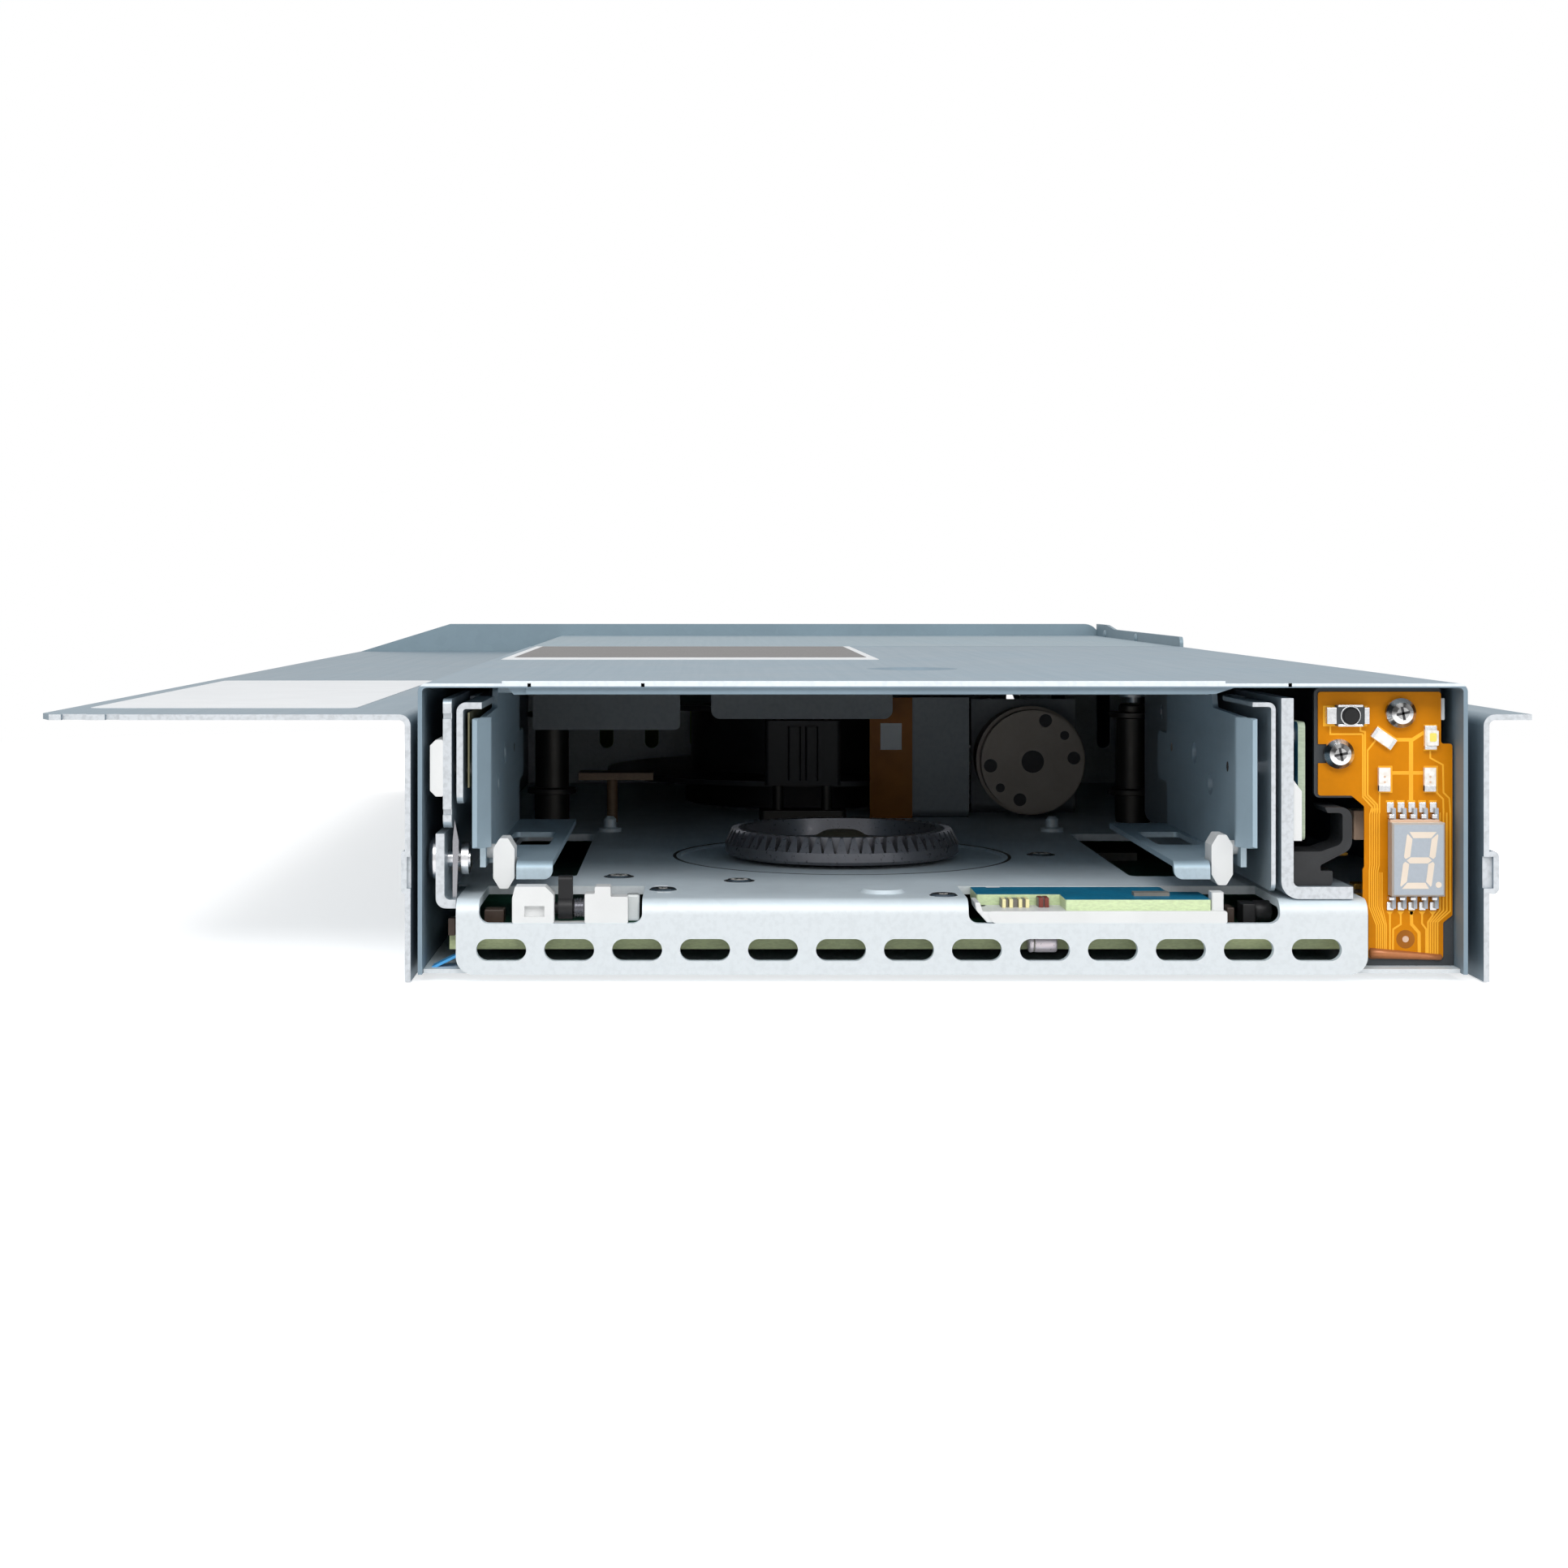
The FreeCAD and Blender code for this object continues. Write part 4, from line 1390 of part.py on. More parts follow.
# ---- the sense switch in the left notch ----
def switch_holder():
    """Two white blocks in the left notch, joined by a bar behind the front plate."""
    notch_left = LEFT_NOTCH_X - LEFT_NOTCH_WIDTH / 2
    left = (notch_left + 4.6, notch_left + 10.4)
    right = (notch_left + 14.7, notch_left + 20.7)
    y = (0.3, TRAY_FRONT - 0.5)
    bar = block((left[0], right[1]), (DECK_T + 0.1, y[1]), (LOGIC_BOARD_TOP + 0.15, NOTCH_BOTTOM))
    low = NOTCH_BOTTOM
    block_a = prism("xz", [(left[0], low), (left[1], low), (left[1], BLOCK_TOP - 1.2),
                           (left[1] - 1.2, BLOCK_TOP), (left[0] + 0.4, BLOCK_TOP),
                           (left[0], BLOCK_TOP - 1.6)], y, radius=0.2)
    dent = block((left[0] + 1.7, left[1] - 1.3), (y[0] - 1, y[0] + 0.8), (low + 0.9, low + 2.4))
    block_b = prism("xz", [(right[0], low), (right[1], low), (right[1], BLOCK_TOP - 1.4),
                           (right[0] + 3.6, BLOCK_TOP - 1.4), (right[0] + 3.6, BLOCK_TOP),
                           (right[0] + 1.4, BLOCK_TOP), (right[0] + 1.4, BLOCK_TOP - 1.0),
                           (right[0], BLOCK_TOP - 1.0)], y, radius=0.2)
    body = joined(block_a.cut(dent), block_b, bar)
    return body.cut(rod("x", LEVER_AXIS, (left[1] - 2, right[0] + 2), LEVER_SHAFT))


def lever_limits():
    notch_left = LEFT_NOTCH_X - LEFT_NOTCH_WIDTH / 2
    return notch_left + 10.4, notch_left + 14.7


def lever_shaft():
    low, high = lever_limits()
    return rod("x", LEVER_AXIS, (low - 2, high + 2), LEVER_SHAFT)


def sense_lever():
    """A small lever on the shaft that the cartridge's edge tips."""
    low = lever_limits()[0] + 0.5
    x = (low, low + LEVER_WIDTH)
    y, z = LEVER_AXIS
    arm = rounded_box("yz", (y - 0.8, y + 0.8), (z, z + LEVER_LENGTH), x, 0.7)
    boss = rod("x", LEVER_AXIS, x, 3.2)
    return joined(arm, boss).cut(rod("x", LEVER_AXIS, (x[0] - 1, x[1] + 1), LEVER_SHAFT + 2 * RUNNING_GAP))


def lever_spring():
    """The close coil beside the lever, its turns as ridges."""
    low = lever_limits()[0] + 0.5 + LEVER_WIDTH + 0.1
    inner, outer = LEVER_SHAFT / 2 + SPRING_WIRE / 2, LEVER_SHAFT / 2 + 1.5 * SPRING_WIRE
    ridges = []
    for i in range(SPRING_TURNS):
        start = low + i * SPRING_WIRE
        ridges += [(outer - SPRING_WIRE / 2, start), (outer, start + SPRING_WIRE / 2)]
    end = low + SPRING_TURNS * SPRING_WIRE
    return turned("x", LEVER_AXIS, [(inner, low)] + ridges + [(outer - SPRING_WIRE / 2, end), (inner, end)])


# ---- the nodes ----
NODES = [
    sled, side_screws, rear_housing, rear_panel, rear_handle, thumbscrew_left, thumbscrew_right, fan_frame,
    fan_rotor, interface_board, data_ports, power_socket,
    top_cover, bottom_cover, base_deck, frame_screws,
    tray, tray_pads, tray_pins, bracket_left, bracket_right, cam_slider, glide_pad,
    side_frame_left, side_frame_right, spring_plate,
    reel_motor, reel_gear, gear_hub, takeup_motor, takeup_reel, roller_left, roller_right, path_posts,
    head_rods, tape_head, head_shield, head_flex, path_brackets, path_sensor, loader_motor, threading_arm,
    logic_board, board_parts, sensor_board, sensor_holder, side_board, side_connector, guide_hook,
    display_flex, display_bracket, display_module, indicator_lamps, panel_screws, eject_switch, eject_button,
    switch_holder, lever_shaft, sense_lever, lever_spring,
]


def main():
    """Moves each piece so that the origin is the middle of the whole part's bottom, and writes it."""
    os.makedirs("parts", exist_ok=True)
    middle = Vector((WING_EDGE + PANEL_RIGHT) / 2, REAR_TIP / 2, SLED_BOTTOM)
    for make in NODES:
        made = make()
        shape = Part.Compound(made) if isinstance(made, list) else made
        shape.translate(-middle)
        shape.exportStep(os.path.join("parts", make.__name__ + ".step"))


main()
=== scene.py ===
import math

import bpy
import bmesh
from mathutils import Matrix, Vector

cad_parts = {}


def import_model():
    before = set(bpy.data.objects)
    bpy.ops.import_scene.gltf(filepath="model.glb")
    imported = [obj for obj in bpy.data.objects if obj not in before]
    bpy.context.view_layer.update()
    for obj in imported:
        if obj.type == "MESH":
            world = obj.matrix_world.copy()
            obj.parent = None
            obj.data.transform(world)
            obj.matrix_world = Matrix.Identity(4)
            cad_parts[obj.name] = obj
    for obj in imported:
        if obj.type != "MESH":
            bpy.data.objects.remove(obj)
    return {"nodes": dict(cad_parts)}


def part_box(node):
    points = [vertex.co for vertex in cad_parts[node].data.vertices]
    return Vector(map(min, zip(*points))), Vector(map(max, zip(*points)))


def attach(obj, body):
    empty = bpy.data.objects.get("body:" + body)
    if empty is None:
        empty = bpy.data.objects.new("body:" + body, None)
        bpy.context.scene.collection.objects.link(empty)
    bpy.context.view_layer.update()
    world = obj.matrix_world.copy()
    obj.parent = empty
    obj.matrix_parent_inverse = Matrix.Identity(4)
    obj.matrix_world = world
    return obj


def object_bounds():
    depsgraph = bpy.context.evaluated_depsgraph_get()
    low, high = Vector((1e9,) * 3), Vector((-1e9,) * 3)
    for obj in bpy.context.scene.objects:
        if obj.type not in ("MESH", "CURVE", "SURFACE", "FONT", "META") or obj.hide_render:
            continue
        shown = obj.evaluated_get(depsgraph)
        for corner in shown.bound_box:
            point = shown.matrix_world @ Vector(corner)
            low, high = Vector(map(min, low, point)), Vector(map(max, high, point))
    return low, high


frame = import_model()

cad_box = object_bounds()

# ---- the drive's own frame ----
# Sizes below are millimetres from the cover's front edge, its middle and its bottom.
cover_low, cover_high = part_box("top_cover")
START = Vector(((cover_low.x + cover_high.x) / 2, cover_low.y, cover_low.z))
MM = 0.001


def at(x, y, z):
    """A point of the drive's frame in the row frame, in metres."""
    return START + Vector((x, y, z)) * MM


def span(node):
    """The limits of a node in the drive's frame, in millimetres: (x, y, z) pairs."""
    low, high = ((p - START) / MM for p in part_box(node))
    return (low.x, high.x), (low.y, high.y), (low.z, high.z)


# ---- materials ----
class Look:
    """A procedural material built on one Principled shader in object coordinates."""

    def __init__(self, name, rough=0.5, metal=0.0, specular=0.5, coat=0.0, ior=1.45):
        self.material = bpy.data.materials.new(name)
        self.material.use_nodes = True
        self.tree = self.material.node_tree
        self.shader = self.tree.nodes["Principled BSDF"]
        self.coord = self.tree.nodes.new("ShaderNodeTexCoord")
        self.shader.inputs["Metallic"].default_value = metal
        self.shader.inputs["Roughness"].default_value = rough
        self.shader.inputs["Specular IOR Level"].default_value = specular
        self.shader.inputs["Coat Weight"].default_value = coat
        self.shader.inputs["Coat Roughness"].default_value = 0.15
        self.shader.inputs["IOR"].default_value = ior

    def link(self, a, b):
        self.tree.links.new(a, b)

    def math(self, kind, a, b=0.0, clamp=False):
        node = self.tree.nodes.new("ShaderNodeMath")
        node.operation = kind
        node.use_clamp = clamp
        for socket, value in zip(node.inputs, (a, b)):
            if isinstance(value, (int, float)):
                socket.default_value = value
            else:
                self.link(value, socket)
        return node.outputs[0]

    def noise(self, scale, detail=2.0, stretch=(1, 1, 1), rough=0.5):
        """Noise with features about 1/scale metres across."""
        mapping = self.tree.nodes.new("ShaderNodeMapping")
        mapping.inputs["Scale"].default_value = stretch
        self.link(self.coord.outputs["Object"], mapping.inputs["Vector"])
        node = self.tree.nodes.new("ShaderNodeTexNoise")
        node.inputs["Scale"].default_value = scale
        node.inputs["Detail"].default_value = detail
        node.inputs["Roughness"].default_value = rough
        self.link(mapping.outputs["Vector"], node.inputs["Vector"])
        return node.outputs["Fac"]

    def flakes(self, scale):
        """Cells of random grey, as on spangled or cast surfaces."""
        node = self.tree.nodes.new("ShaderNodeTexVoronoi")
        node.inputs["Scale"].default_value = scale
        self.link(self.coord.outputs["Object"], node.inputs["Vector"])
        grey = self.tree.nodes.new("ShaderNodeSeparateColor")
        self.link(node.outputs["Color"], grey.inputs["Color"])
        return grey.outputs["Red"]

    def remap(self, value, low, high, to_low, to_high):
        node = self.tree.nodes.new("ShaderNodeMapRange")
        node.inputs["From Min"].default_value = low
        node.inputs["From Max"].default_value = high
        node.inputs["To Min"].default_value = to_low
        node.inputs["To Max"].default_value = to_high
        self.link(value, node.inputs["Value"])
        return node.outputs["Result"]

    def bands(self, value, steps):
        """Grey levels along a value, as (place, level) pairs with straight runs between them."""
        node = self.tree.nodes.new("ShaderNodeValToRGB")
        ramp = node.color_ramp
        while len(ramp.elements) < len(steps):
            ramp.elements.new(0.5)
        for element, (place, level) in zip(ramp.elements, steps):
            element.position = place
            element.color = (level, level, level, 1)
        self.link(value, node.inputs["Fac"])
        return node.outputs["Color"]

    def mix(self, factor, a, b, blend="MIX"):
        node = self.tree.nodes.new("ShaderNodeMix")
        node.data_type = "RGBA"
        node.blend_type = blend
        for index, value in ((0, factor), (6, a), (7, b)):
            socket = node.inputs[index]
            if isinstance(value, tuple):
                socket.default_value = (*value, 1.0)
            elif isinstance(value, (int, float)):
                socket.default_value = value
            else:
                self.link(value, socket)
        return node.outputs[2]

    def part(self, output, axis):
        """One component of the object's coordinates or of its normal."""
        split = self.tree.nodes.new("ShaderNodeSeparateXYZ")
        self.link(self.coord.outputs[output], split.inputs[0])
        return split.outputs["XYZ".index(axis)]

    def facing(self, axis, way, soft=0.06):
        """1 where the surface faces along an axis of the object, else 0."""
        return self.remap(self.math("MULTIPLY", self.part("Normal", axis), way), 0.96 - soft, 0.96, 0.0, 1.0)

    def colour(self, value):
        socket = self.shader.inputs["Base Color"]
        if isinstance(value, tuple):
            socket.default_value = (*value, 1.0)
        else:
            self.link(value, socket)

    def roughness(self, value):
        self.link(value, self.shader.inputs["Roughness"])

    def bump(self, height, depth_mm, strength=1.0):
        node = self.tree.nodes.new("ShaderNodeBump")
        node.inputs["Strength"].default_value = strength
        node.inputs["Distance"].default_value = depth_mm * MM
        self.link(height, node.inputs["Height"])
        self.link(node.outputs["Normal"], self.shader.inputs["Normal"])


def srgb(r, g, b):
    """A colour given as 0-255 screen values, as linear light."""
    return tuple((c / 255 / 12.92) if c <= 10 else ((c / 255 + 0.055) / 1.055) ** 2.4 for c in (r, g, b))


def scaled(colour, factor):
    return tuple(min(1.0, c * factor) for c in colour)


def sheet_steel(name, base, cut_edge_and_painted_light=None, rough=0.42, metal=0.35, speckle=0.04, mottle=0.08, grain=0.93,
                painted_light_above=None):
    """Zinc-plated sheet: cloudy tone, fine spangle, faint rolling lines, and forward faces in a colour of
    their own.

    The faces that look forwards, towards the front lamps, get the second colour, only above the given height
    where one is given: partly the bare cut edge, partly painted light, set apart from the rest of the sheet
    by the way each face looks.
    """
    look = Look(name, metal=metal)
    cloud = look.noise(38, 4)
    fine = look.noise(1900, 2)
    spangle = look.flakes(380)
    rolled = look.noise(900, 2, (1, 0.02, 1))
    tone = look.mix(look.remap(cloud, 0.3, 0.7, 0, 1), scaled(base, 1 - mottle), scaled(base, 1 + mottle / 2))
    tone = look.mix(speckle, tone, look.mix(fine, scaled(base, 0.55), scaled(base, 1.5)))
    tone = look.mix(0.05, tone, look.mix(spangle, scaled(base, 0.6), scaled(base, 1.35)))
    # Painted light: forward faces take their own colour, partly bare cut edge and partly painted highlight
    # where the front lamps fall.
    if cut_edge_and_painted_light:
        streaks = look.remap(look.noise(1500, 3), 0.36, 0.56, 0, 1)
        grains = look.mix(streaks, scaled(cut_edge_and_painted_light, grain), cut_edge_and_painted_light)
        front_faces = look.facing("Y", -1)
        if painted_light_above is not None:
            high = look.math("GREATER_THAN", look.part("Object", "Z"), painted_light_above)
            front_faces = look.math("MULTIPLY", front_faces, high)
        tone = look.mix(front_faces, tone, grains)
    look.colour(tone)
    wear = look.math("ADD", look.remap(cloud, 0, 1, rough - 0.08, rough + 0.1),
                     look.remap(rolled, 0, 1, -0.05, 0.05))
    look.roughness(wear)
    grit, rolling = look.math("MULTIPLY", fine, 0.6), look.math("MULTIPLY", rolled, 0.4)
    look.bump(look.math("ADD", grit, rolling), 0.006, 0.6)
    return look.material


def plain_metal(name, base, rough=0.3, metal=1.0, speckle=0.12, scale=1800, depth_mm=0.008):
    """Turned, plated or oiled metal with a fine uneven finish."""
    look = Look(name, metal=metal)
    fine = look.noise(scale, 3)
    cloud = look.noise(90, 3)
    tone = look.mix(look.remap(cloud, 0.3, 0.7, 0, 1), scaled(base, 0.86), scaled(base, 1.08))
    look.colour(look.mix(speckle, tone, look.mix(fine, scaled(base, 0.4), scaled(base, 1.7))))
    look.roughness(look.remap(fine, 0.2, 0.8, rough - 0.07, rough + 0.1))
    look.bump(fine, depth_mm, 0.6)
    return look.material


def painted_reflection_dome(name):
    """A polished screw head with a painted reflection: bright and black bands by the way each spot of the
    dome faces.
    """
    look = Look(name, metal=0.9)
    wavy = look.math("ADD", look.part("Normal", "Z"), look.remap(look.noise(420, 2), 0, 1, -0.18, 0.18))
    steps = ((0.0, 0.55), (0.2, 0.12), (0.34, 0.85), (0.47, 0.62), (0.56, 0.03), (0.74, 0.03), (0.82, 0.95))
    bands = look.bands(look.remap(wavy, -1, 1, 0, 1), steps)
    fine = look.noise(2200, 2)
    look.colour(look.mix(0.08, bands, look.mix(fine, (0.1, 0.1, 0.1), (0.9, 0.9, 0.9))))
    look.roughness(look.remap(fine, 0.2, 0.8, 0.1, 0.22))
    return look.material


def moulded(name, base, rough=0.45, specular=0.4, grain=0.02, coat=0.0, tint=0.06):
    """Moulded plastic: a fine spark-eroded grain and a slight cloud of tone."""
    look = Look(name, specular=specular, coat=coat)
    cloud = look.noise(120, 3)
    fine = look.noise(2400, 2)
    look.colour(look.mix(look.remap(cloud, 0.3, 0.7, 0, 1), scaled(base, 1 - tint), scaled(base, 1 + tint)))
    look.roughness(look.remap(fine, 0.2, 0.8, rough - 0.05, rough + 0.08))
    look.bump(fine, grain, 0.5)
    return look.material


def laminate(name, face, edge, face_axis="Z", face_rough=0.35):
    """A circuit board: a lacquered face on both sides, and a woven glass edge."""
    look = Look(name, specular=0.5)
    weave = look.noise(1500, 2, (1, 1, 3))
    strands = look.noise(700, 2, (0.3, 1, 6))
    edge_tone = look.mix(look.remap(weave, 0.35, 0.65, 0, 1), scaled(edge, 0.88), scaled(edge, 1.08))
    edge_tone = look.mix(0.2, edge_tone, look.mix(strands, scaled(edge, 0.6), scaled(edge, 1.3)))
    cloud = look.noise(220, 3)
    face_tone = look.mix(look.remap(cloud, 0.3, 0.7, 0, 1), scaled(face, 0.85), scaled(face, 1.2))
    flat = look.math("MAXIMUM", look.facing(face_axis, 1), look.facing(face_axis, -1))
    look.colour(look.mix(flat, edge_tone, face_tone))
    look.roughness(look.remap(weave, 0, 1, face_rough, face_rough + 0.2))
    look.bump(weave, 0.01, 0.4)
    return look.material


def flex_look():
    """Orange polyimide film: copper below it shows as a slightly uneven glow, and its edges carry a painted
    highlight.
    """
    look = Look("flex_orange", rough=0.35, specular=0.12)
    cloud = look.noise(110, 4)
    fine = look.noise(1600, 3)
    base = (0.60, 0.205, 0.001)
    tone = look.mix(look.remap(cloud, 0.3, 0.7, 0, 1), scaled(base, 0.82), scaled(base, 1.1))
    tone = look.mix(0.08, tone, look.mix(fine, scaled(base, 0.6), scaled(base, 1.5)))
    # Painted highlight: faces that do not look forwards, the film's edges and bends, are 1.5 times brighter.
    look.colour(look.mix(look.facing("Y", -1), scaled(base, 1.5), tone))
    look.roughness(look.remap(fine, 0.2, 0.8, 0.28, 0.42))
    look.bump(cloud, 0.02, 0.5)
    return look.material


def display_look():
    """The display's grey face and its cream body behind it, with painted shade on the body's sides, back and
    underside.
    """
    look = Look("display_body", rough=0.42, specular=0.45)
    fine = look.noise(2200, 2)
    face = look.mix(fine, srgb(160, 168, 177), srgb(170, 178, 187))
    body = look.mix(look.noise(500, 3), srgb(228, 216, 196), srgb(246, 238, 224))
    # Painted shade: every face of the body except the top and the front is a darker cream.
    side = look.mix(look.facing("Z", 1), srgb(176, 168, 160), body)
    look.colour(look.mix(look.facing("Y", -1), side, face))
    look.roughness(look.remap(fine, 0.2, 0.8, 0.36, 0.5))
    look.bump(fine, 0.008, 0.5)
    return look.material


def lamp_look():
    """White resin with a warm cast in random patches."""
    look = Look("lamp_resin", rough=0.3, specular=0.5, coat=0.2)
    cloud = look.noise(1400, 3)
    look.colour(look.mix(look.remap(cloud, 0.35, 0.65, 0, 1), srgb(226, 220, 212), srgb(244, 242, 238)))
    look.roughness(look.remap(cloud, 0, 1, 0.22, 0.4))
    look.bump(cloud, 0.02, 0.5)
    return look.material


# Each sheet's second colour paints its forward faces apart from the rest. On most sheets it is a painted
# highlight. On the deck the front plate is painted a little darker than the lighter top, a painted shade.
COVER_STEEL = sheet_steel("cover_steel", (0.20, 0.27, 0.325), (0.70, 0.76, 0.80), rough=0.5, metal=0.35,
                          painted_light_above=at(0, 0, 40.1).z)
SLED_STEEL = sheet_steel("sled_steel", (0.20, 0.265, 0.315), (0.56, 0.59, 0.62),
                         rough=0.5, metal=0.35, grain=0.85)
HOUSING_STEEL = sheet_steel("housing_steel", (0.23, 0.31, 0.36), rough=0.5, metal=0.35)
DECK_STEEL = sheet_steel("deck_steel", (0.66, 0.745, 0.80), (0.61, 0.65, 0.675),
                         rough=0.5, metal=0.2, grain=0.95)
TRAY_STEEL = sheet_steel("tray_steel", (0.31, 0.41, 0.48), (0.38, 0.47, 0.53),
                         rough=0.45, metal=0.3, grain=0.92)
FRAME_STEEL = sheet_steel("frame_steel", (0.31, 0.38, 0.43), (0.56, 0.59, 0.62),
                          rough=0.4, metal=0.4, grain=0.84)
# Painted shade: the head shield and path brackets deep in the bay get a darker steel for the shade they lie
# in.
INNER_SHADE_STEEL = sheet_steel("inner_shade_steel", (0.20, 0.22, 0.24), (0.24, 0.26, 0.28), rough=0.55, metal=0.3)
# Painted shade: the display bracket is near black, as it lies in shade behind the flex.
SHADE_STEEL = sheet_steel("shade_steel", (0.045, 0.05, 0.055), rough=0.55, metal=0.3)
SHINY = plain_metal("bright_screw", (0.72, 0.72, 0.74), rough=0.2, speckle=0.1)
SPRING = plain_metal("spring_steel", (0.30, 0.30, 0.32), rough=0.22, metal=0.9)
PAINTED_REFLECTION_SCREW = painted_reflection_dome("panel_screw")
ALLOY = plain_metal("cast_alloy", (0.50, 0.48, 0.45), rough=0.42, metal=0.8, speckle=0.2, scale=900)
MOTOR = plain_metal("motor_case", (0.30, 0.26, 0.225), rough=0.5, metal=0.3, speckle=0.15, scale=1200)
# Painted shade: the rollers, posts and rods of the tape path are near black for the shade of the bay.
SHADED = plain_metal("path_metal", (0.045, 0.042, 0.038), rough=0.42, metal=0.7, speckle=0.15)
GEAR = plain_metal("gear_steel", (0.15, 0.15, 0.165), rough=0.3, metal=0.5, speckle=0.2, scale=1500)
BRASS = plain_metal("hub_brass", (0.42, 0.35, 0.24), rough=0.32, metal=0.9)
# Painted shade: the motors and the tape head deep in the bay, and the loader motor's holes, are near black
# for the shade they lie in.
PAINTED_SHADE_METAL = plain_metal("dark_steel", (0.022, 0.022, 0.024), rough=0.5, metal=0.4)
WHITE = moulded("white_plastic", (0.70, 0.71, 0.71), rough=0.4, tint=0.03)
BLACK = moulded("black_plastic", (0.011, 0.011, 0.012), rough=0.42, specular=0.3, tint=0.2)
RUBBED = moulded("rubbed_plastic", (0.02, 0.021, 0.023), rough=0.5, tint=0.4, grain=0.04)
GREY = moulded("grey_plastic", (0.045, 0.05, 0.055), rough=0.4)
REEL_MAT = moulded("reel_plastic", (0.03, 0.03, 0.034), rough=0.35, tint=0.2)
BOARD_GREEN = laminate("board_green", (0.02, 0.10, 0.06), (0.50, 0.56, 0.30))
BOARD_TEAL = laminate("board_teal", (0.004, 0.15, 0.27), (0.60, 0.72, 0.43))
BOARD_SIDE = laminate("board_side", (0.004, 0.10, 0.18), (0.36, 0.43, 0.32), face_axis="X")
PARTS = moulded("board_parts", (0.20, 0.19, 0.17), rough=0.4, tint=0.3)
BROWN_FLEX = moulded("brown_flex", (0.34, 0.115, 0.012), rough=0.35, specular=0.15, tint=0.2)
BROWN_BOARD = laminate("brown_board", (0.10, 0.065, 0.04), (0.22, 0.13, 0.07))
FLEX = flex_look()
DISPLAY = display_look()
LAMP = lamp_look()

NODE_LOOKS = {
    COVER_STEEL: ("top_cover",),
    SLED_STEEL: ("sled",),
    HOUSING_STEEL: ("rear_housing", "rear_panel"),
    DECK_STEEL: ("base_deck", "bottom_cover"),
    TRAY_STEEL: ("tray",),
    FRAME_STEEL: ("bracket_left", "bracket_right", "cam_slider", "side_frame_left", "side_frame_right",
                  "threading_arm"),
    INNER_SHADE_STEEL: ("head_shield", "path_brackets"),
    SHADE_STEEL: ("display_bracket",),
    SHINY: ("side_screws", "rear_handle", "frame_screws", "tray_pins", "data_ports"),
    SPRING: ("spring_plate", "lever_spring"),
    PAINTED_REFLECTION_SCREW: ("panel_screws",),
    ALLOY: ("thumbscrew_left", "thumbscrew_right"),
    MOTOR: ("loader_motor",),
    SHADED: ("roller_left", "roller_right", "path_posts", "head_rods"),
    GEAR: ("reel_gear",),
    BRASS: ("gear_hub",),
    PAINTED_SHADE_METAL: ("reel_motor", "takeup_motor", "tape_head"),
    WHITE: ("tray_pads", "glide_pad", "switch_holder", "sensor_holder", "side_connector"),
    BLACK: ("fan_frame", "fan_rotor", "power_socket", "eject_button", "lever_shaft", "sense_lever"),
    RUBBED: ("guide_hook",),
    GREY: ("eject_switch",),
    REEL_MAT: ("takeup_reel",),
    BOARD_GREEN: ("logic_board", "interface_board"),
    BOARD_TEAL: ("sensor_board",),
    BOARD_SIDE: ("side_board",),
    PARTS: ("board_parts",),
    BROWN_FLEX: ("head_flex",),
    BROWN_BOARD: ("path_sensor",),
    FLEX: ("display_flex",),
    DISPLAY: ("display_module",),
    LAMP: ("indicator_lamps",),
}
for material, nodes in NODE_LOOKS.items():
    for node in nodes:
        thing = frame["nodes"][node]
        for place in thing.material_slots:
            place.material = material
        if not thing.material_slots:
            thing.data.materials.append(material)

# ---- finishes for added pieces ----
TRACE = plain_metal("copper_trace", (0.98, 0.44, 0.012), rough=0.4, metal=0.0, speckle=0.05)
SOLDER = plain_metal("solder", (0.74, 0.75, 0.77), rough=0.22, metal=0.8, speckle=0.3, scale=2600)
# Painted shade: near black for the screw slots, the edge nicks and the gaps around screws and the gear.
RECESS_SHADE = plain_metal("recess_shade", (0.03, 0.03, 0.033), rough=0.4, metal=0.3)
SEGMENT = moulded("segment_resin", srgb(226, 212, 196), rough=0.4)
LABEL_WHITE = moulded("label_white", (0.72, 0.74, 0.76), rough=0.5, tint=0.02, grain=0.006)
LABEL_DARK = moulded("label_dark", (0.085, 0.078, 0.076), rough=0.45, tint=0.07, grain=0.006)
CHIP = moulded("lamp_chip", srgb(244, 226, 110), rough=0.3)
COPPER = plain_metal("rolled_film", (0.42, 0.15, 0.05), rough=0.32, metal=0.25)
FILM_BLUE = moulded("blue_film", (0.08, 0.40, 0.80), rough=0.3)
RED = moulded("red_wire", (0.70, 0.012, 0.008), rough=0.35)
BEIGE = moulded("beige_block", srgb(214, 182, 158), rough=0.5)
CAN = plain_metal("can_sleeve", (0.70, 0.62, 0.66), rough=0.3, metal=0.4)
CLEAR = moulded("clear_end", (0.50, 0.53, 0.53), rough=0.22, coat=0.3)
OLIVE = plain_metal("spring_strip", (0.30, 0.28, 0.17), rough=0.35, metal=0.6)
GOLD = plain_metal("gold_contact", (0.75, 0.40, 0.06), rough=0.3, metal=0.6)
RESISTOR = moulded("part_brown", (0.045, 0.028, 0.02), rough=0.4, tint=0.2)
BURGUNDY = moulded("part_burgundy", (0.20, 0.045, 0.035), rough=0.4, tint=0.2)
STRIPE = moulded("part_cream", srgb(238, 230, 176), rough=0.4)
FASTENER = plain_metal("deck_screw", (0.78, 0.75, 0.70), rough=0.3, metal=0.25)
THREAD = plain_metal("thread", (0.42, 0.39, 0.34), rough=0.3, metal=0.5)


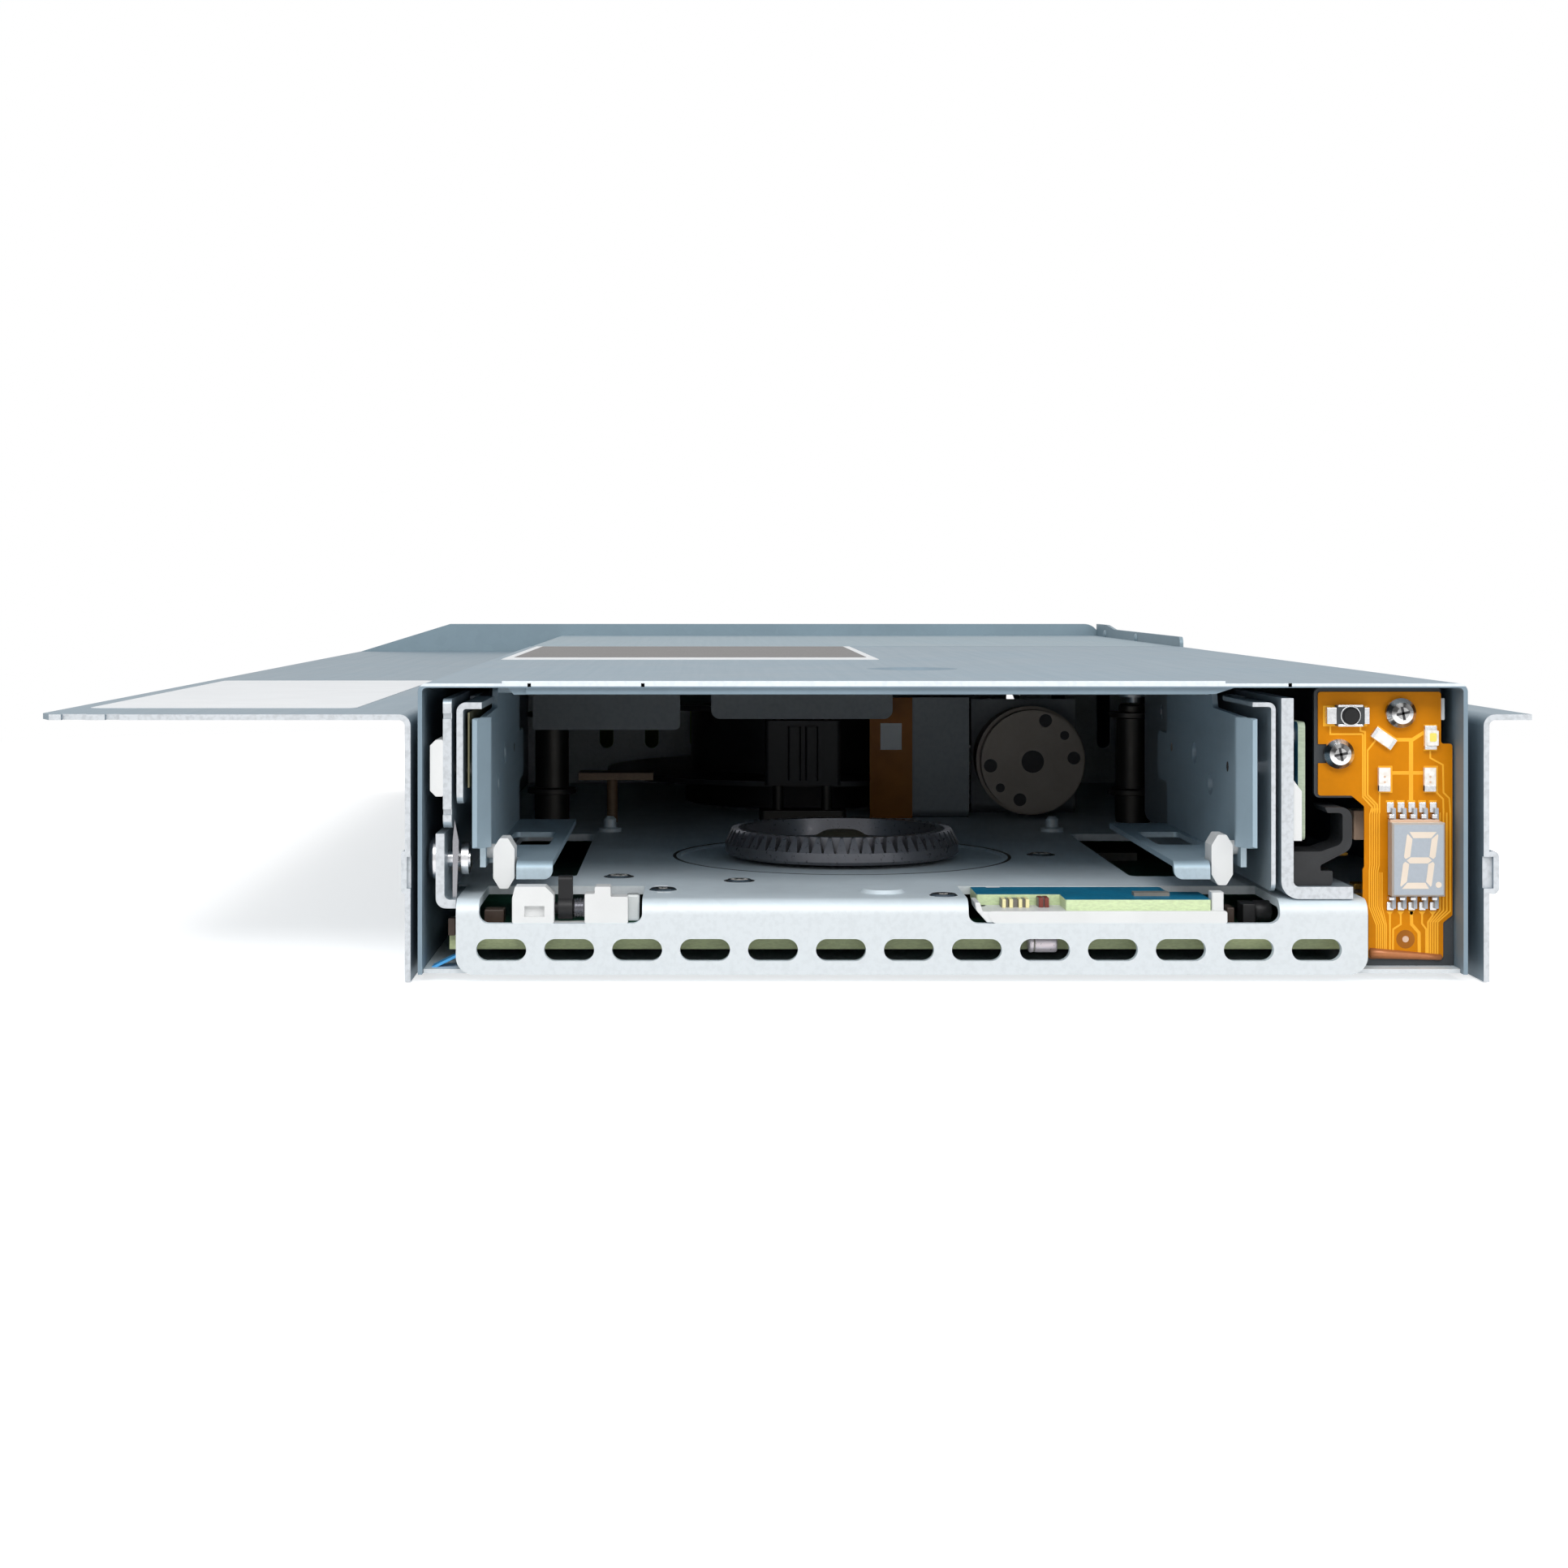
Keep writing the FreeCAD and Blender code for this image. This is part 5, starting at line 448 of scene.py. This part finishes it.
# ---- building helpers ----
def finish_piece(name, mesh, material, body, bevel=0.0):
    piece = bpy.data.objects.new(name, mesh)
    bpy.context.scene.collection.objects.link(piece)
    mesh.materials.append(material)
    if bevel:
        edge = piece.modifiers.new("edge", "BEVEL")
        edge.width = bevel * MM
        edge.segments = 2
        edge.limit_method = "ANGLE"
    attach(piece, body)
    return piece


def place_on(plane, a, b, c):
    return {"xz": (a, c, b), "xy": (a, b, c), "yz": (c, a, b)}[plane]


def add_prism(bm, outline, plane, depth):
    near, far = ([bm.verts.new(at(*place_on(plane, a, b, c))) for a, b in outline] for c in depth)
    bm.faces.new(near)
    bm.faces.new(far[::-1])
    for i, corner in enumerate(near):
        j = (i + 1) % len(near)
        bm.faces.new((near[j], corner, far[i], far[j]))


def mesh_from(name, bm):
    bmesh.ops.recalc_face_normals(bm, faces=bm.faces)
    mesh = bpy.data.meshes.new(name)
    bm.to_mesh(mesh)
    bm.free()
    return mesh


def plates(name, outlines, plane, depth, material, body="chassis", bevel=0.0):
    """Flat pieces from outlines: each is extruded square to the plane between two depths."""
    bm = bmesh.new()
    for outline in outlines:
        add_prism(bm, outline, plane, depth)
    return finish_piece(name, mesh_from(name, bm), material, body, bevel)


def blocks(name, boxes, material, body="chassis", bevel=0.15):
    """Small moulded or cut pieces, each given by its limits along x, y and z."""
    bm = bmesh.new()
    for x, y, z in boxes:
        add_prism(bm, oblong(x, z), "xz", y)
    return finish_piece(name, mesh_from(name, bm), material, body, bevel)


def lathe(name, axis, centre, profile, material, body="chassis", steps=32, closed=True):
    """A turned piece: (radius, place along the axis) pairs swept about the axis."""
    bm = bmesh.new()
    rings = []
    plane = {"x": "yz", "y": "xz", "z": "xy"}[axis]
    for radius, along in profile:
        ring = []
        for i in range(steps):
            angle = 2 * math.pi * i / steps
            a, b = centre[0] + radius * math.cos(angle), centre[1] + radius * math.sin(angle)
            ring.append(bm.verts.new(at(*place_on(plane, a, b, along))))
        rings.append(ring)
    for low, high in zip(rings, rings[1:]):
        for i in range(steps):
            j = (i + 1) % steps
            bm.faces.new((low[i], low[j], high[j], high[i]))
    if closed:
        bm.faces.new(rings[0][::-1])
        bm.faces.new(rings[-1])
    for face in bm.faces:
        face.smooth = len(face.verts) == 4
    return finish_piece(name, mesh_from(name, bm), material, body)


def oblong(a, b):
    return [(a[0], b[0]), (a[1], b[0]), (a[1], b[1]), (a[0], b[1])]


def rounded(a, b, radius, steps=5):
    """An oblong with rounded corners."""
    points = []
    for cx, cy, start in ((a[1] - radius, b[0] + radius, -90), (a[1] - radius, b[1] - radius, 0),
                          (a[0] + radius, b[1] - radius, 90), (a[0] + radius, b[0] + radius, 180)):
        for i in range(steps + 1):
            angle = math.radians(start + 90 * i / steps)
            points.append((cx + radius * math.cos(angle), cy + radius * math.sin(angle)))
    return points


def disc(centre, radius, steps=24):
    angles = [2 * math.pi / steps * i for i in range(steps)]
    return [(centre[0] + radius * math.cos(a), centre[1] + radius * math.sin(a)) for a in angles]


def track(points, width):
    """The outline of a line of that width with mitred corners."""
    left, right = [], []
    for i, (x, y) in enumerate(points):
        dirs = []
        for a, b in ((i - 1, i), (i, i + 1)):
            if 0 <= a and b < len(points):
                dx, dy = points[b][0] - points[a][0], points[b][1] - points[a][1]
                size = math.hypot(dx, dy)
                dirs.append((dx / size, dy / size))
        nx = -sum(d[1] for d in dirs)
        ny = sum(d[0] for d in dirs)
        size = math.hypot(nx, ny)
        nx, ny = nx / size, ny / size
        reach = width / 2 / max(0.5, nx * -dirs[0][1] + ny * dirs[0][0])
        left.append((x + nx * reach, y + ny * reach))
        right.append((x - nx * reach, y - ny * reach))
    return left + right[::-1]


def turned_outline(centre, size, degrees):
    """A turned oblong about its centre."""
    c, s = math.cos(math.radians(degrees)), math.sin(math.radians(degrees))
    w, h = size[0] / 2, size[1] / 2
    corners = ((-w, -h), (w, -h), (w, h), (-w, h))
    return [(centre[0] + x * c - y * s, centre[1] + x * s + y * c) for x, y in corners]


def cross(centre, size, bar, turn=0.0):
    """Two crossing bars as outlines."""
    return [turned_outline(centre, (size, bar), turn), turned_outline(centre, (size, bar), turn + 90)]


# ---- labels, left bare, and the cover's edge ----
WING_TOP = span("sled")[2][1]
COVER_TOP = 40.5
LABEL_T = 0.06
PRINT_T = 0.03
NICK_WIDTH = 0.5
NICKS_X = (-57.5, -41.7, 48.3)
field_bottom = COVER_TOP + LABEL_T
plates("wing_label", [rounded((-123.0, -84.0), (17.0, 120.0), 1.5)], "xy", (WING_TOP, WING_TOP + LABEL_T),
       LABEL_WHITE)
plates("top_label_border", [rounded((-70.5, -1.3), (108.0, 204.0), 1.0)], "xy", (COVER_TOP, field_bottom),
       LABEL_WHITE)
plates("top_label_field", [rounded((-69.0, -2.8), (121.0, 202.5), 0.6)], "xy",
       (field_bottom, field_bottom + PRINT_T), LABEL_DARK)
plates("cover_lip", [[(-58.0, 39.0), (38.0, 39.0), (42.0, 40.3), (-58.0, 40.3)]], "xz", (0.6, 1.3),
       COVER_STEEL)
# The nicks are dark marks on the edge: painted shade in small notches.
nick_z = (COVER_TOP - 0.5, COVER_TOP + 0.02)
nicks = [oblong((x - NICK_WIDTH / 2, x + NICK_WIDTH / 2), nick_z) for x in NICKS_X]
plates("cover_edge_nicks", nicks, "xz", (0.0, 0.4), RECESS_SHADE)

# ---- operator panel: spots (u, v) are millimetres from the flex's left edge and down from its top ----
flex_x, flex_y, flex_z = span("display_flex")
face = flex_y[0]


def panel(u, v):
    """A spot on the panel as a place across and up in the drive's frame."""
    return flex_x[0] + u, flex_z[1] - v


def panel_box(u, v):
    """An oblong on the panel between two u and two v."""
    return oblong((flex_x[0] + u[0], flex_x[0] + u[1]), (flex_z[1] - v[1], flex_z[1] - v[0]))


def lines(name, paths, width, lift=0.03):
    """Copper lines that stand proud of the film by the lift."""
    plates(name, [track([panel(*p) for p in path], width) for path in paths], "xz", (face - lift, face),
           TRACE)


def fan_out(count, knots):
    """Side-by-side lines: each knot is the first line's spot and the step to the next line."""
    return [[(u + du * i, v + dv * i) for (u, v), (du, dv) in knots] for i in range(count)]


PIN_COUNT = 5
PIN_PITCH = 1.51
PIN_US = [10.1 + PIN_PITCH * i for i in range(PIN_COUNT)]
lines("trace_button", [
    [(1.71, 4.5), (1.71, 5.95), (6.2, 5.95), (6.31, 6.15), (6.31, 14.8), (7.6, 16.2), (7.6, 17.0)],
    [(5.96, 4.5), (5.96, 5.5), (6.61, 5.63), (6.61, 14.6), (7.95, 15.95), (7.95, 17.0)],
    [(8.08, 6.83), (6.97, 8.24), (6.97, 14.5), (8.3, 15.86), (8.3, 17.0)],
    [(8.7, 14.0), (8.64, 15.2), (8.64, 17.0)],
    [(15.78, 8.1), (15.78, 9.3), (17.56, 10.27), (17.64, 14.17), (18.48, 15.0), (18.6, 17.0)],
    [(16.5, 14.0), (17.6, 15.1), (17.64, 17.0)]], 0.24)
lines("trace_common", [[(10.9, 6.74), (13.27, 6.74), (14.9, 5.7)], [(10.3, 11.4), (15.1, 11.4)]], 0.5,
      lift=0.035)
lines("trace_common_down", [[(13.07, 6.6), (13.07, 15.4)]], 0.6, lift=0.045)
lines("trace_left_bundle", fan_out(5, [((7.5, 16.4), (0.3, 0.0)), ((7.27, 17.2), (0.33, 0)),
                                       ((7.27, 24.4), (0.33, 0)), ((7.2, 25.2), (0.3, 0)),
                                       ((7.2, 30.2), (0.3, 0)), ((8.2, 32.8), (0.29, 0)),
                                       ((8.2, 36.3), (0.29, 0))]), 0.17, lift=0.025)
lines("trace_left_filler", fan_out(2, [((8.7, 25.4), (0.3, 0)), ((8.7, 30.2), (0.3, 0)),
                                       ((9.42, 32.8), (0.2, 0)), ((9.42, 36.4), (0.2, 0))]), 0.14)
lines("trace_right_bundle", fan_out(4, [((17.15, 17.0), (0.48, 0)), ((17.15, 30.7), (0.48, 0.05)),
                                        ((15.8, 32.4), (0.34, 0)), ((15.8, 36.9), (0.34, 0))]), 0.2,
      lift=0.025)
lines("trace_pins", [
    [(PIN_US[0], 31.0), (10.1, 36.3)],
    [(PIN_US[1], 31.0), (11.63, 32.7), (10.55, 33.4), (10.52, 36.4)],
    [(PIN_US[3], 31.0), (14.62, 32.6), (15.2, 33.4), (15.2, 36.8)],
    [(PIN_US[4], 31.0), (16.1, 31.5), (15.46, 32.4), (15.46, 36.8)]], 0.26, lift=0.035)
lines("trace_pin_wide", [[(PIN_US[2], 30.7), (13.16, 32.7), (14.2, 33.9), (14.23, 36.7)]], 0.45)
funnel = ((-0.5, 30.85), (0.5, 30.85), (0.12, 31.35), (-0.12, 31.35))
plates("trace_funnels", [[panel(u + du, v) for du, v in funnel] for u in PIN_US], "xz", (face - 0.03, face),
       TRACE)
plates("trace_pads", [panel_box((u, u + 2.0), (10.4, 14.2)) for u in (8.45, 14.85)]
       + [panel_box((14.85, 16.75), (4.6, 8.3)), panel_box((0.7, 6.9), (1.95, 4.85)),
          turned_outline(panel(9.3, 6.5), (3.5, 1.95), -35)]
       + [panel_box((u - 0.55, u + 0.55), (15.25, 17.0)) for u in PIN_US], "xz", (face - 0.02, face),
       TRACE)
test_pad = panel(12.3, 34.8)
plates("test_pad_ring", [disc(test_pad, 1.3, 32)], "xz", (face - 0.02, face), BROWN_FLEX)
plates("test_pad", [disc(test_pad, 0.45)], "xz", (face - 0.05, face), BEIGE)

pad_rows = [panel_box((u - 0.5, u + 0.5), v) for u in PIN_US for v in ((15.5, 16.95), (29.5, 30.7))]
plates("display_pads", pad_rows, "xz", (face - 0.35, face), SOLDER, bevel=0.12)
shoulders = [panel_box((u - 0.38, u + 0.38), v) for u in PIN_US for v in ((17.15, 17.75), (28.75, 29.2))]
plates("display_shoulders", shoulders, "xz", (face - 1.1, face), SOLDER, bevel=0.08)
left, right, low, high = flex_x[0] + 9.8, flex_x[0] + 17.1, flex_z[1] - 28.45, flex_z[1] - 18.25
plates("display_back_edge", [oblong((left, right - 0.4), (high, high + 0.4))], "xz", (face - 1.4, face - 0.1),
       BEIGE, bevel=0.1)


def segments(left, low, width, height, bar, lean, gap=0.09):
    """The seven bars of a leaning digit, with slanted ends."""
    mid, top, right, half = low + height / 2, low + height, left + width, bar / 2
    inner = (left + bar + gap, right - bar - gap)
    shapes = [[(left + 0.3, end), (right - 0.3, end), (inner[1], end - up * bar), (inner[0], end - up * bar)]
              for end, up in ((top, 1), (low, -1))]
    shapes.append([(left + half, mid), (inner[0], mid + half), (inner[1], mid + half),
                   (right - half, mid), (inner[1], mid - half), (inner[0], mid - half)])
    for outer, way in ((left, 1), (right, -1)):
        side = outer + way * bar
        for end, up in ((top, 1), (low, -1)):
            shapes.append([(outer, mid + up * 0.5), (outer + way * half * 0.6, mid + up * 0.18),
                           (side, mid + up * (half + gap)), (side, end - up * (bar + gap * 1.5)),
                           (outer + way * 0.12, end - up * 0.28), (outer, end - up * 0.5)])
    return [[(x + lean * (z - low), z) for x, z in shape] for shape in shapes]


glass = span("display_module")[1][0]
lit = (glass - 0.03, glass + 0.02)
digit = segments(left + 0.97, low + 1.05, width=4.4, height=7.94, bar=0.86, lean=0.132)
plates("display_segments", digit, "xz", lit, SEGMENT)
plates("display_point", [disc((left + 6.4, low + 1.6), 0.42)], "xz", lit, SEGMENT)

lamp_front = span("indicator_lamps")[1][0]
ends = [panel_box((8.4, 10.0), (13.1, 13.97)), panel_box((14.8, 16.4), (13.1, 13.97)),
        panel_box((14.85, 16.45), (4.72, 5.3)), panel_box((14.85, 16.45), (7.6, 8.07))]
ends += [turned_outline(panel(9.1 + s * 1.18, 6.5 + s * 0.83), (0.5, 1.64), -35) for s in (1, -1)]
plates("lamp_ends", ends, "xz", (lamp_front - 0.04, face), SOLDER, bevel=0.05)
plates("lamp_dots", [disc(panel(u, v), 0.16, 12) for u in (9.2, 15.6) for v in (11.9, 12.65)], "xz",
       (lamp_front - 0.03, lamp_front + 0.02), BEIGE)
plates("yellow_lamp", [panel_box((15.05, 16.75), (5.4, 7.55))], "xz", (lamp_front - 0.25, face), LAMP,
       bevel=0.12)
plates("yellow_lamp_chip", [rounded(*zip(panel(15.45, 6.95), panel(16.4, 5.75)), 0.2)], "xz",
       (lamp_front - 0.29, lamp_front), CHIP)

button_x, _, button_z = (sum(pair) / 2 for pair in span("eject_button"))
switch_y = span("eject_switch")[1]
frame_bars = [turned_outline((button_x, button_z + s * 1.37), (3.5, 0.32), 0) for s in (1, -1)]
frame_bars += [oblong((button_x - 3.3, button_x - 1.95), (button_z - 1.15, button_z + 1.15)),
               oblong((button_x + 1.95, button_x + 2.65), (button_z - 1.15, button_z + 1.15))]
plates("switch_frame", frame_bars, "xz", (switch_y[0] - 0.05, face), SOLDER, bevel=0.08)
lathe("switch_ring", "y", (button_x, button_z), [(1.3, switch_y[0] + 0.02), (1.42, switch_y[0] - 0.06),
      (1.42, switch_y[0] - 0.1), (1.34, switch_y[0] - 0.12)], SOLDER)
PANEL_SCREWS = ((2.8, 8.7), (11.5, 2.95))
# The screw slots are dark crosses: painted shade.
slots = [bar for spot in PANEL_SCREWS for bar in cross(panel(*spot), 1.9, 0.36, 12)]
plates("screw_crosses", slots, "xz", (2.4, 3.2), RECESS_SHADE)
plates("edge_clip", [panel_box((17.35, 17.95), (0.9, 4.0))], "xz", (face + 0.3, face + 2.5), LABEL_WHITE,
       bevel=0.15)


def folded_film():
    """The rolled end of the flex: a slightly tapered, tilted tube with rounded ends."""
    bm = bmesh.new()
    rings = []
    steps = 20
    for t in (0.0, 0.02, 0.25, 0.5, 0.75, 0.98, 1.0):
        u, v = 7.15 + 10.3 * t, 36.75 + 0.6 * t
        radius = (0.78 - 0.36 * t) * (0.6 if t in (0.0, 1.0) else 1.0)
        x, z = panel(u, v)
        rings.append([bm.verts.new(at(x, face + 0.1 + radius * math.cos(a), z + radius * math.sin(a)))
                      for a in (2 * math.pi * i / steps for i in range(steps))])
    for near, far in zip(rings, rings[1:]):
        for i in range(steps):
            j = (i + 1) % steps
            bm.faces.new((near[i], near[j], far[j], far[i])).smooth = True
    bm.faces.new(rings[0])
    bm.faces.new(rings[-1][::-1])
    finish_piece("folded_film", mesh_from("folded_film", bm), COPPER, "chassis")


folded_film()

# ---- small parts behind the panel and in the notches ----
blocks("beige_block", [((59.5, 62.0), (9.0, 13.0), (17.8, 22.0))], BEIGE)
blocks("gold_contacts", [((61.4, 63.2), (16.0, 19.0), (9.9, 10.7)), ((61.6, 63.2), (16.0, 19.0), (8.2, 9.3)),
                         ((57.6, 60.0), (14.0, 15.0), (15.0, 15.5))], GOLD)
blocks("red_wire", [((59.8, 61.8), (7.0, 9.0), (6.7, 7.6))], RED, bevel=0.3)
blocks("notch_block_brown", [((40.5, 41.6), (5.0, 9.0), (6.4, 8.7)),
                             ((-64.2, -61.4), (5.0, 8.0), (6.4, 8.4))], RESISTOR)
blocks("notch_cam", [((42.8, 44.6), (5.0, 9.0), (6.2, 9.2))], BLACK)
lathe("notch_roller", "x", (7.0, 8.0), [(1.2, 44.4), (1.5, 44.7), (1.5, 46.8), (1.3, 47.1)], BLACK)
lathe("board_can", "x", (3.0, 3.95), [(1.05, 12.2), (1.26, 12.45), (1.26, 12.8), (1.18, 12.9), (1.18, 13.1),
      (1.26, 13.2), (1.26, 16.0), (1.1, 16.2)], CAN)
board_x, _, board_z = span("sensor_board")
end_shape = [(4.5, 10.0), (4.7, 8.9), (6.2, 7.2), (9.8, 7.2), (9.8, 8.75), (5.6, 8.75), (5.2, 10.0)]
plates("holder_end", [end_shape], "xz", (0.3, 6.0), WHITE, bevel=0.15)


def part_row(name, starts, width, front, height, material):
    """Like components side by side on the sensor board, each starting so far from its left edge."""
    blocks(name, [((board_x[0] + x, board_x[0] + x + width), (front, 6.9), (board_z[0], board_z[0] + height))
                  for x in starts], material, bevel=0.06)


part_row("sensor_parts_cream", (3.3, 4.3, 5.6, 6.6), 0.5, 3.9, 1.2, STRIPE)
part_row("sensor_parts_brown", (8.5, 9.3), 0.6, 4.2, 1.35, BURGUNDY)
blocks("spring_strip", [((-66.4, -66.1), (3.5, 40.0), (25.7, 36.3))], OLIVE, "carriage",
       bevel=0.05)
blocks("clear_end", [((-44.0, -42.2), (1.2, 3.4), (7.3, 11.0))], CLEAR, bevel=0.3)
blocks("corner_part", [((-69.1, -68.1), (3.2, 5.0), (5.0, 7.4))], RESISTOR, bevel=0.08)
plates("blue_film", [[(-71.4, 0.25), (-68.0, 1.9), (-68.0, 2.3), (-71.4, 0.65)]], "xz", (3.0, 6.0), FILM_BLUE)


def screw_thread(name, centre, reach, radius, pitch):
    """A thread's ridges along x."""
    ridge = ((0.82, 0.1), (1.0, 0.5), (0.82, 0.9))
    profile = [(radius * 0.8, reach[0])]
    place = reach[0]
    while place + pitch <= reach[1]:
        profile += [(radius * level, place + part * pitch) for level, part in ridge]
        place += pitch
    profile.append((radius * 0.7, reach[1]))
    lathe(name, "x", centre, profile, THREAD, steps=24)


screw_thread("screw_tip", (12.0, 14.5), (-70.8, -66.6), 1.6, 0.55)

# ---- deck: flush screws, small marks ----
DECK_TOP = 10.4
SCREWS = ((-46.0, 27.7), (-28.0, 22.5), (21.4, 57.9), (-39.1, 11.8), (0.6, 5.3))
for index, (x, y) in enumerate(SCREWS):
    size = 1.0 if index < 3 else 0.5
    # Each deck screw's ring and cross slots are painted shade.
    lathe(f"deck_screw_ring_{index}", "z", (x, y),
          [(2.3 * size, DECK_TOP - 0.05), (2.3 * size, DECK_TOP + 0.02)], RECESS_SHADE)
    lathe(f"deck_screw_head_{index}", "z", (x, y), [(1.85 * size, DECK_TOP), (1.8 * size, DECK_TOP + 0.14),
          (1.2 * size, DECK_TOP + 0.26), (0.3 * size, DECK_TOP + 0.3)], FASTENER)
    plates(f"deck_screw_cross_{index}", cross((x, y), 1.7 * size, 0.42 * size, 25 + 17 * index), "xy",
           (DECK_TOP + 0.2, DECK_TOP + 0.32), RECESS_SHADE)
gear_x, gear_y, _ = (sum(pair) / 2 for pair in span("reel_gear"))
# A dark ring on the deck around the gear: painted shade in the gap.
ring = [(26.75, DECK_TOP), (26.85, DECK_TOP + 0.03), (27.2, DECK_TOP + 0.03), (27.3, DECK_TOP)]
lathe("deck_ring", "z", (gear_x, gear_y), ring, RECESS_SHADE, steps=96, closed=False)
MARKS = ((-39.4, 16.0, 4), (-38.9, 8.5, -5), (8.6, 14.5, 3))
plates("deck_marks", [turned_outline((x, y), (2.0, 0.5), t) for x, y, t in MARKS], "xy",
       (DECK_TOP, DECK_TOP + 0.04), LABEL_WHITE)

# ---- loader motor's holes and the label on the head flex ----
motor_x, motor_y, motor_z = span("loader_motor")
mx, mz = sum(motor_x) / 2, sum(motor_z) / 2
MOTOR_FACE_R = 9.6
HOLES = ((0.0, 0.0, 2.1), (0.25, 0.8, 1.2), (0.62, 0.51, 0.85), (0.8, 0.07, 1.2),
         (-0.82, -0.08, 1.25), (-0.63, -0.51, 0.85), (-0.25, -0.74, 1.2))
discs = [disc((mx + a * MOTOR_FACE_R, mz + b * MOTOR_FACE_R), r) for a, b, r in HOLES]
# Dark discs stand in for the holes: painted shade.
plates("motor_holes", discs, "xz", (motor_y[0] - 0.04, motor_y[0] + 0.3), PAINTED_SHADE_METAL)
ribbon_x, ribbon_y, _ = span("head_flex")
rx = sum(ribbon_x) / 2
plates("flex_tag", [oblong((rx - 2.0, rx + 2.0), (23.2, 28.2))], "xz", (ribbon_y[0] - 0.06, ribbon_y[0]),
       LABEL_WHITE)

# ---- camera ----
camera = bpy.data.cameras.new("camera")
camera.lens = 56.98
camera.sensor_width = 36.0
camera.shift_x = 0.0492
camera.shift_y = -0.1273
camera.clip_start = 0.01
eye = bpy.data.objects.new("camera", camera)
eye.location = at(-32.8, -345.0, 54.27)
eye.rotation_euler = (math.pi / 2, 0, 0)
bpy.context.scene.collection.objects.link(eye)
bpy.context.scene.camera = eye


# ---- floor, world and lamps ----
def node_maths(tree, kind, a, b):
    node = tree.nodes.new("ShaderNodeMath")
    node.operation = kind
    for socket, value in zip(node.inputs, (a, b)):
        if isinstance(value, (int, float)):
            socket.default_value = value
        else:
            tree.links.new(value, socket)
    return node.outputs[0]


def seen_directly(tree):
    """1 for camera, mirror and glass rays, so that they meet plain white."""
    path = tree.nodes.new("ShaderNodeLightPath")
    both = node_maths(tree, "MAXIMUM", path.outputs["Is Camera Ray"], path.outputs["Is Glossy Ray"])
    return node_maths(tree, "MAXIMUM", both, path.outputs["Is Transmission Ray"])


def floor():
    """A pale floor that keeps the shadow near the object and turns plain white farther away."""
    mesh = bpy.data.meshes.new("floor")
    bm = bmesh.new()
    bmesh.ops.create_grid(bm, x_segments=1, y_segments=1, size=8.0)
    bm.to_mesh(mesh)
    bm.free()
    plane = bpy.data.objects.new("floor", mesh)
    plane.location = (0, 0, cad_box[0][2] - 0.0002)
    bpy.context.scene.collection.objects.link(plane)
    material = bpy.data.materials.new("floor_white")
    material.use_nodes = True
    tree = material.node_tree
    shader = tree.nodes["Principled BSDF"]
    shader.inputs["Base Color"].default_value = (0.9, 0.9, 0.9, 1)
    shader.inputs["Roughness"].default_value = 0.9
    shader.inputs["Specular IOR Level"].default_value = 0.1
    seen = seen_directly(tree)
    glow = tree.nodes.new("ShaderNodeEmission")
    tree.links.new(node_maths(tree, "MULTIPLY", seen, 0.62), glow.inputs["Strength"])
    near = tree.nodes.new("ShaderNodeAddShader")
    tree.links.new(shader.outputs[0], near.inputs[0])
    tree.links.new(glow.outputs[0], near.inputs[1])
    white = tree.nodes.new("ShaderNodeEmission")
    where = tree.nodes.new("ShaderNodeTexCoord")
    far = tree.nodes.new("ShaderNodeVectorMath")
    far.operation = "LENGTH"
    tree.links.new(where.outputs["Object"], far.inputs[0])
    fade = tree.nodes.new("ShaderNodeMapRange")
    fade.interpolation_type = "SMOOTHSTEP"
    fade.inputs["From Min"].default_value = 0.22
    fade.inputs["From Max"].default_value = 0.45
    tree.links.new(far.outputs["Value"], fade.inputs["Value"])
    blend = tree.nodes.new("ShaderNodeMixShader")
    tree.links.new(node_maths(tree, "MULTIPLY", fade.outputs["Result"], seen), blend.inputs[0])
    tree.links.new(near.outputs[0], blend.inputs[1])
    tree.links.new(white.outputs[0], blend.inputs[2])
    tree.links.new(blend.outputs[0], tree.nodes["Material Output"].inputs["Surface"])
    mesh.materials.append(material)


def world():
    """White where it is seen or mirrored, and a softer grey light on the object."""
    sky = bpy.data.worlds.new("studio")
    bpy.context.scene.world = sky
    sky.use_nodes = True
    tree = sky.node_tree
    back = tree.nodes["Background"]
    back.inputs["Color"].default_value = (1, 1, 1, 1)
    level = tree.nodes.new("ShaderNodeMapRange")
    level.inputs["To Min"].default_value = 0.45
    level.inputs["To Max"].default_value = 1.0
    tree.links.new(seen_directly(tree), level.inputs["Value"])
    tree.links.new(level.outputs["Result"], back.inputs["Strength"])


def softbox(name, place, aim, size, power):
    light = bpy.data.lights.new(name, "AREA")
    light.shape = "RECTANGLE"
    light.size, light.size_y = size
    light.energy = power
    lamp = bpy.data.objects.new(name, light)
    lamp.location = place
    lamp.rotation_euler = (Vector(aim) - Vector(place)).to_track_quat("-Z", "Y").to_euler()
    bpy.context.scene.collection.objects.link(lamp)


floor()
world()
softbox("front", (-0.05, -0.88, 0.70), (0, -0.1, 0.02), (0.8, 0.4), 6.0)
softbox("front_left", (-0.85, -0.95, 0.45), (0, -0.1, 0.02), (0.6, 0.6), 0.9)
softbox("front_right", (0.85, -0.95, 0.40), (0, -0.1, 0.02), (0.6, 0.6), 2.6)
softbox("top", (0.0, 0.1, 1.3), (0, 0.05, 0), (1.2, 1.2), 4.0)

bpy.context.scene.view_settings.view_transform = "Standard"
